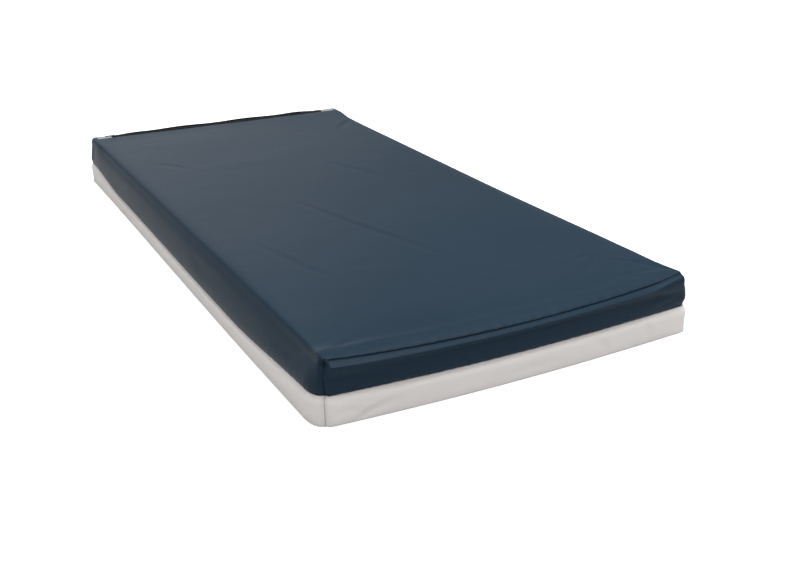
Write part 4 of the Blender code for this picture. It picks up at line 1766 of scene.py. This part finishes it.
@dataclass
class ZipRun:
    """The zip along the top of the head end: tapes, coils, stops, end patches and their stitches."""

    tape_wall: float = 0.0007
    tape_cells: tuple[int, int] = (150, 10)
    fold_rise: float = 0.0058
    fold_top_share: float = 0.45
    fold_from_coil: float = 0.22
    fold_ends: float = 0.14
    fold_power: float = 0.8
    fold_ripple: float = 0.22
    fold_ripples: float = 3.4
    tape_sink: float = 0.0001
    link_pitch: float = 0.0016
    link_lean: float = 0.16
    wire: float = 0.00042
    patch_wall: float = 0.0008
    patch_cells: tuple[int, int] = (28, 18)
    patch_puff: float = 0.0009
    patch_fold: float = 0.0006
    patch_sink: float = 0.0002
    patch_turns: Band = (0.0, 2.1)
    underlay_wall: float = 0.0004
    underlay_cells: tuple[int, int] = (90, 4)
    underlay_width: float = 0.0150
    underlay_drop: float = 0.0037
    stop_edge: float = 0.0005
    stitch_pitch: float = 0.0030
    stitch_end_gap: float = 0.001
    patch_stitch_lift: float = 0.0002
    coil_margin: float = 0.0014
    hem_margin: float = 0.0006
    topstitch_gap: float = 0.0034
    patch_margin: float = 0.0026

    def build(self) -> None:
        """Makes every piece of the zip that stays on the mattress."""
        tape, nylon = BLACK_TAPE.material(), BLACK_NYLON.material()
        coils = CoilRow()
        for side in ZipSide:
            self._tape(side, tape)
            self._coil(side, coils, nylon)
        self._underlay(tape)
        patch, lacquer = PATCH_CLOTH.material(), BLACK_LACQUER.material()
        for end in ZipEnd:
            self._patch(end, patch)
            dress_node(f"zip_stop_{end.value}", lacquer, self.stop_edge)
        self._stitches()

    @staticmethod
    def _strip(
        name: str,
        low: Vector,
        high: Vector,
        counts: tuple[int, int],
        lift: Callable[[Array, Array], Array] | None = None,
    ) -> bpy.types.Object:
        """A level strip of cloth.

        Args:
            name: The new piece's name.
            low: Its lowest corner.
            high: Its highest corner.
            counts: How many cells it has across x and along y.
            lift: The height over its level, from the shares of the way along x and y.

        Returns:
            The strip, one layer of cloth.
        """
        columns, rows = counts
        xs, ys = np.linspace(0, 1, columns + 1), np.linspace(0, 1, rows + 1)
        share_x, share_y = (g.ravel() for g in np.meshgrid(xs, ys))
        level = np.full(share_x.shape, high.z)
        if lift is not None:
            level += lift(share_x, share_y)
        points = np.column_stack(
            [low.x + (high.x - low.x) * share_x, low.y + (high.y - low.y) * share_y, level]
        )
        wide = columns + 1
        faces = [
            (r * wide + c, r * wide + c + 1, (r + 1) * wide + c + 1, (r + 1) * wide + c)
            for r in range(rows)
            for c in range(columns)
        ]
        mesh = bpy.data.meshes.new(name)
        mesh.from_pydata(points.tolist(), [], faces)
        mesh.shade_smooth()
        return new_object(name, mesh)

    def _tape(self, side: ZipSide, material: bpy.types.Material) -> None:
        """One woven tape, flat by the coil, then in a soft fold up to its seam.

        Args:
            side: The half of the zip.
            material: The tape's material.
        """
        low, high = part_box(f"zip_tape_{side.value}")
        on_top = side is ZipSide.TOP
        rise = self.fold_rise * (self.fold_top_share if on_top else 1.0)

        def lift(across: Array, along: Array) -> Array:
            """Height of the tape over its level."""
            away = 1 - along if on_top else along
            ripple = self.fold_ripple * np.sin(FULL_TURN * across * self.fold_ripples + 0.9)
            slow = 1 - self.fold_ripple + ripple
            ends = smooth(across, 0.0, self.fold_ends) * (1 - smooth(across, 1 - self.fold_ends, 1.0))
            fold = np.clip((away - self.fold_from_coil) / (1 - self.fold_from_coil), 0.0, 1.0)
            return rise * slow * ends * np.sin(np.pi * fold) ** self.fold_power - self.tape_sink

        made = self._strip(f"zip_tape_{side.value}_woven", low, high, self.tape_cells, lift)
        middle = (low.y + high.y) / 2
        add_chart(made.data, lambda p: (p[:, 1] - middle, p[:, 0]))
        add_wall(made, self.tape_wall)
        finish_piece(made, Body.MATTRESS, material, [f"zip_tape_{side.value}"])

    def _underlay(self, material: bpy.types.Material) -> None:
        """The strip under the zip that keeps the foam's sock out of its teeth.

        Args:
            material: The strip's material.
        """
        half, end = self.underlay_width / 2, SIZES.tape_end
        level = SIZES.zip_z - self.underlay_drop
        low = Vector((-end, SIZES.zip_y - half, level))
        high = Vector((end, SIZES.zip_y + half, level))
        made = self._strip("zip_underlay_cloth", low, high, self.underlay_cells)
        add_chart(made.data, lambda p: (p[:, 1] - SIZES.zip_y, p[:, 0]))
        add_wall(made, self.underlay_wall, 0.0)
        finish_piece(made, Body.MATTRESS, material)

    def _coil(self, side: ZipSide, row: CoilRow, material: bpy.types.Material) -> None:
        """One coil of the zip, as a row of leaning links.

        Args:
            side: The half of the zip.
            row: The tree that makes the links.
            material: Their material.
        """
        low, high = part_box(f"zip_coil_{side.value}")
        y, z = (low.y + high.y) / 2, (low.z + high.z) / 2
        spare = self.link_pitch / 2
        guide = path_mesh([[(low.x + spare, y, z), (high.x - spare, y, z)]])
        values = {
            "Pitch": self.link_pitch,
            "Link Width": (high.y - low.y) - 2 * self.wire,
            "Link Height": (high.z - low.z) - 2 * self.wire,
            "Wire Radius": self.wire,
            "Lean": -self.link_lean if side is ZipSide.TOP else self.link_lean,
            "Finish": material,
        }
        made = row.run(f"zip_coil_{side.value}_links", guide, values)
        finish_piece(made, Body.MATTRESS, material, [f"zip_coil_{side.value}"])

    def _patch(self, end: ZipEnd, material: bpy.types.Material) -> None:
        """One grey end patch, puffed a little between its stitched edges.

        Args:
            end: The end of the zip.
            material: The patch's material.
        """
        low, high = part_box(f"zip_end_patch_{end.value}")
        turn = self.patch_turns[0] if end is ZipEnd.LEFT else self.patch_turns[1]

        def lift(across: Array, along: Array) -> Array:
            """Height of the patch over the cover."""
            inside = np.sin(np.pi * across) * np.sin(np.pi * along)
            fold = self.patch_fold * np.sin(FULL_TURN * (across * 1.4 + along * 0.6) + turn)
            return self.patch_puff * inside**0.5 + fold * inside - self.patch_sink

        made = self._strip(f"zip_end_patch_{end.value}_cloth", low, high, self.patch_cells, lift)
        add_chart(made.data, lambda p: (p[:, 0], p[:, 1]))
        add_wall(made, self.patch_wall)
        finish_piece(made, Body.MATTRESS, material, [f"zip_end_patch_{end.value}"])

    def _stitches(self) -> None:
        """Rows of stitches along the tapes, on the cloth beside them and round the patches."""
        tree = StitchRow()
        black, navy, grey = (f.material() for f in (BLACK_THREAD, NAVY_THREAD, GREY_THREAD))
        top_low, top_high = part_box("zip_tape_top")
        head_low, head_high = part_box("zip_tape_head")
        end = top_high.x - self.stitch_end_gap
        on_tape = SIZES.height - self.tape_sink
        rows = [top_high.y - self.coil_margin, head_low.y + self.coil_margin]
        rows += [top_low.y + self.hem_margin, head_high.y - self.hem_margin]
        paths = [[(-end, y, on_tape), (end, y, on_tape)] for y in rows]
        self._stitch_piece(tree, "zip_tape_stitches", paths, black)
        beside = SIZES.opening_low - self.topstitch_gap
        cloth = [[(side * SIZES.opening_end, beside, SIZES.height) for side in (-1, 1)]]
        self._stitch_piece(tree, "cover_zip_topstitch", cloth, navy)
        loops = []
        for zip_end in ZipEnd:
            low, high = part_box(f"zip_end_patch_{zip_end.value}")
            left, right = low.x + self.patch_margin, high.x - self.patch_margin
            near, far = low.y + self.patch_margin, high.y - self.patch_margin
            loop = [(left, near), (right, near), (right, far), (left, far), (left, near)]
            loops.append([(x, y, SIZES.height + self.patch_stitch_lift) for x, y in loop])
        self._stitch_piece(tree, "zip_patch_stitches", loops, grey)

    def _stitch_piece(
        self, tree: StitchRow, name: str, paths: list, material: bpy.types.Material
    ) -> None:
        """Sews along the paths with one thread."""
        values = {"Pitch": self.stitch_pitch, "Finish": material}
        made = tree.run(name, path_mesh(paths), values)
        finish_piece(made, Body.MATTRESS, material)


@dataclass
class SliderSet:
    """The slider and its pull, in black lacquer that hands have rubbed."""

    slider_edge: float = 0.00025
    pull_edge: float = 0.00030

    def build(self) -> None:
        """Dresses the two moving pieces."""
        lacquer = BLACK_LACQUER.material()
        dress_node("zip_slider", lacquer, self.slider_edge)
        dress_node("zip_pull", lacquer, self.pull_edge)


# What is inside


@dataclass
class Inside:
    """Everything under the cover. It gives with the cover, so that nothing shows through it."""

    settling: Settling
    cell: float = 0.060
    binding_squeeze: float = 0.0062
    sock_squeeze: float = 0.0078
    foam_squeeze: float = 0.0084
    level_squeeze: float = 0.050
    foot_squeeze: float = 0.0065
    foot_reach: float = 0.040
    corner_radius: float = 0.0286

    def build(self) -> None:
        """Makes the foam, the sock and the small sewn pieces."""
        for name, (finish, slot) in FOAM_FINISHES.items():
            made = self._given(name, f"{name}_cut", self.foam_squeeze)
            finish_piece(made, Body.MATTRESS, finish.material(), [name])
        self._sock()
        self._binding()
        self._label()

    def _sock(self) -> None:
        """The knitted sock round the foam, and the elastic in the hem of its opening."""
        made = self._given("fire_barrier_sock", "fire_barrier_sock_knit", self.sock_squeeze)
        finish_piece(made, Body.MATTRESS, SOCK_KNIT.material(), ["fire_barrier_sock"])
        hem = self._given("sock_hem_elastic", "sock_hem_elastic_knit", self.sock_squeeze)
        knit = ELASTIC_KNIT.material()
        finish_piece(hem, Body.MATTRESS, knit, ["sock_hem_elastic"])

    def _binding(self) -> None:
        """The band over the raw edges of the waist seam."""
        low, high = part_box("waist_seam_binding")
        girth = 2 * (high.x - low.x + high.y - low.y) - (8 - 2 * math.pi) * self.corner_radius
        made = self._given("waist_seam_binding", "waist_seam_binding_tape", self.binding_squeeze)
        tape = BINDING_CLOTH.material()
        finish_piece(made, Body.MATTRESS, tape, ["waist_seam_binding"])

    def _label(self) -> None:
        """The blank label on the inner face of the grey head panel."""
        made = self._given("care_label", "care_label_ribbon", self.binding_squeeze)
        finish_piece(made, Body.MATTRESS, LABEL_CLOTH.material(), ["care_label"])

    def _given(self, node: str, name: str, squeeze: float) -> bpy.types.Object:
        """A copy of a node with enough points to give with the cover, squeezed by the cloth round it.

        Args:
            node: The node that is copied.
            name: The new piece's name.
            squeeze: How far its sides are pressed in.

        Returns:
            The new piece.
        """
        shape = bmesh.new()
        shape.from_mesh(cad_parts[node].data)
        bmesh.ops.remove_doubles(shape, verts=shape.verts, dist=MERGE)
        flat = math.radians(0.5)
        bmesh.ops.dissolve_limit(shape, angle_limit=flat, verts=shape.verts, edges=shape.edges)
        low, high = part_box(node)
        for axis in range(2):
            normal = Vector((0, 0, 0))
            normal[axis] = 1.0
            for place in spaced(low[axis], high[axis], self.cell)[1:]:
                geometry = shape.verts[:] + shape.edges[:] + shape.faces[:]
                bmesh.ops.bisect_plane(
                    shape, geom=geometry, dist=MERGE, plane_co=normal * place, plane_no=normal
                )
        mesh = bpy.data.meshes.new(name)
        shape.to_mesh(mesh)
        shape.free()
        points = read_points(mesh)
        middle = SIZES.height / 2
        points[:, 0] *= 1 - squeeze / SIZES.half_width
        points[:, 1] *= 1 - squeeze / SIZES.half_length
        points[:, 2] = middle + (points[:, 2] - middle) * (1 - self.level_squeeze)
        by_seam = hill(points[:, 1] - SIZES.foot_seam, self.foot_reach)
        by_seam = by_seam * (points[:, 2] / SIZES.height) ** 3
        points[:, 2] -= self.foot_squeeze * by_seam
        write_points(mesh, self.settling.move(points))
        return new_object(name, mesh)


# The studio


@dataclass
class Studio:
    """A pale floor, soft light and the camera."""

    camera_place: Place = (-1.207, -2.910, 1.089)
    turn: float = 26.13
    tilt: float = 21.41
    lean: float = -1.07
    lens: float = 51.4
    floor_reach: float = 40.0
    floor_drop: float = 0.0005
    floor_colour: Colour = (0.62, 0.62, 0.62)
    floor_glow: float = 0.62
    sky_low: float = 0.58
    sky_high: float = 0.26
    sky_turn: Band = (0.12, 0.36)
    window_light: float = 1.15
    window_towards: Place = (0.10, 0.96, 0.26)
    window_edge: Band = (0.925, 1.0)
    ceiling_light: float = 0.95
    ceiling_edge: Band = (0.46, 0.72)
    key_power: float = 3.4
    key_softness: float = 40.0
    key_from: Place = (0.16, -0.04, 1.0)
    box_power: float = 7.0
    box_place: Place = (0.20, -0.98, 1.45)
    box_size: float = 1.1

    def build(self) -> None:
        """Makes everything that isn't part of the mattress."""
        self._camera()
        self._floor()
        self._sky()
        self._lamps()
        bpy.context.scene.view_settings.view_transform = "Standard"

    def _camera(self) -> None:
        """Stands the camera at the foot end's left corner, looking along and down."""
        turn, tilt, lean = (math.radians(a) for a in (self.turn, self.tilt, self.lean))
        forward = Vector((math.sin(turn), math.cos(turn), 0.0))
        ahead = math.cos(tilt) * forward - math.sin(tilt) * Vector((0.0, 0.0, 1.0))
        level = Vector((math.cos(turn), -math.sin(turn), 0.0))
        up = level.cross(ahead)
        right = math.cos(lean) * level + math.sin(lean) * up
        above = math.cos(lean) * up - math.sin(lean) * level
        data = bpy.data.cameras.new("camera")
        data.lens = self.lens
        data.sensor_width = 36.0
        camera = new_object("camera", data)
        rows = Matrix((right, above, -ahead)).transposed().to_4x4()
        rows.translation = self.camera_place
        camera.matrix_world = rows
        bpy.context.scene.camera = camera

    def _floor(self) -> None:
        """Lays a plain floor just below the mattress."""
        mesh = bpy.data.meshes.new("floor")
        far = self.floor_reach
        corners = [(-far, -far), (far, -far), (far, far), (-far, far)]
        mesh.from_pydata([(x, y, -self.floor_drop) for x, y in corners], [], [(0, 1, 2, 3)])
        mesh.materials.append(self._floor_paint())
        new_object("floor", mesh)

    def _floor_paint(self) -> bpy.types.Material:
        """White paint that is seen a little brighter than it lights the mattress.

        Returns:
            The material.
        """
        bench = Bench("floor_paint")
        seen = bench.wire("ShaderNodeLightPath", output="Is Camera Ray")
        glow = bench.blend(seen, (0.0, 0.0, 0.0), (1.0, 1.0, 1.0))
        return bench.finish(
            {
                "Base Color": (*self.floor_colour, 1.0),
                "Roughness": 0.9,
                "Emission Color": glow,
                "Emission Strength": self.floor_glow,
            }
        )

    def _sky(self) -> None:
        """A sky that is paler low down, with a broad window behind the head end and a lit ceiling."""
        world = bpy.data.worlds.new("sky")
        bench = Bench("sky", world)
        looking = bench.wire("ShaderNodeTexCoord", output="Generated")
        split = bench.node("ShaderNodeSeparateXYZ", inputs={0: looking})
        right, ahead, height = (Wire(bench, split.outputs[n]) for n in range(3))
        towards = self.window_towards
        window = right * towards[0] + ahead * towards[1] + height * towards[2]
        strength = height.between(*self.sky_turn) * (self.sky_high - self.sky_low) + self.sky_low
        strength = strength + window.between(*self.window_edge) * self.window_light
        strength = strength + height.between(*self.ceiling_edge) * self.ceiling_light
        values = {"Color": (1.0, 1.0, 1.0, 1.0), "Strength": strength}
        light = bench.node("ShaderNodeBackground", inputs=values)
        bench.tree.links.new(light.outputs[0], bench.node("ShaderNodeOutputWorld").inputs[0])
        bpy.context.scene.world = world

    def _lamps(self) -> None:
        """A broad key light from above, and a soft box over the foot end."""
        data = bpy.data.lights.new("key", "SUN")
        data.energy = self.key_power
        data.angle = math.radians(self.key_softness)
        lamp = new_object("key", data)
        lamp.rotation_euler = (-Vector(self.key_from)).to_track_quat("-Z", "Y").to_euler()
        data = bpy.data.lights.new("foot_box", "AREA")
        data.energy = self.box_power
        data.size = self.box_size
        new_object("foot_box", data).location = self.box_place


def main() -> None:
    """Builds the mattress's looks in order."""
    logging.basicConfig(level=logging.INFO, format="%(name)s: %(message)s")
    Studio().build()
    cover = Cover()
    cover.build()
    FootWelt(cover.welt_route).build()
    ZipRun().build()
    SliderSet().build()
    Inside(cover.settling).build()


if __name__ == "__main__":
    main()
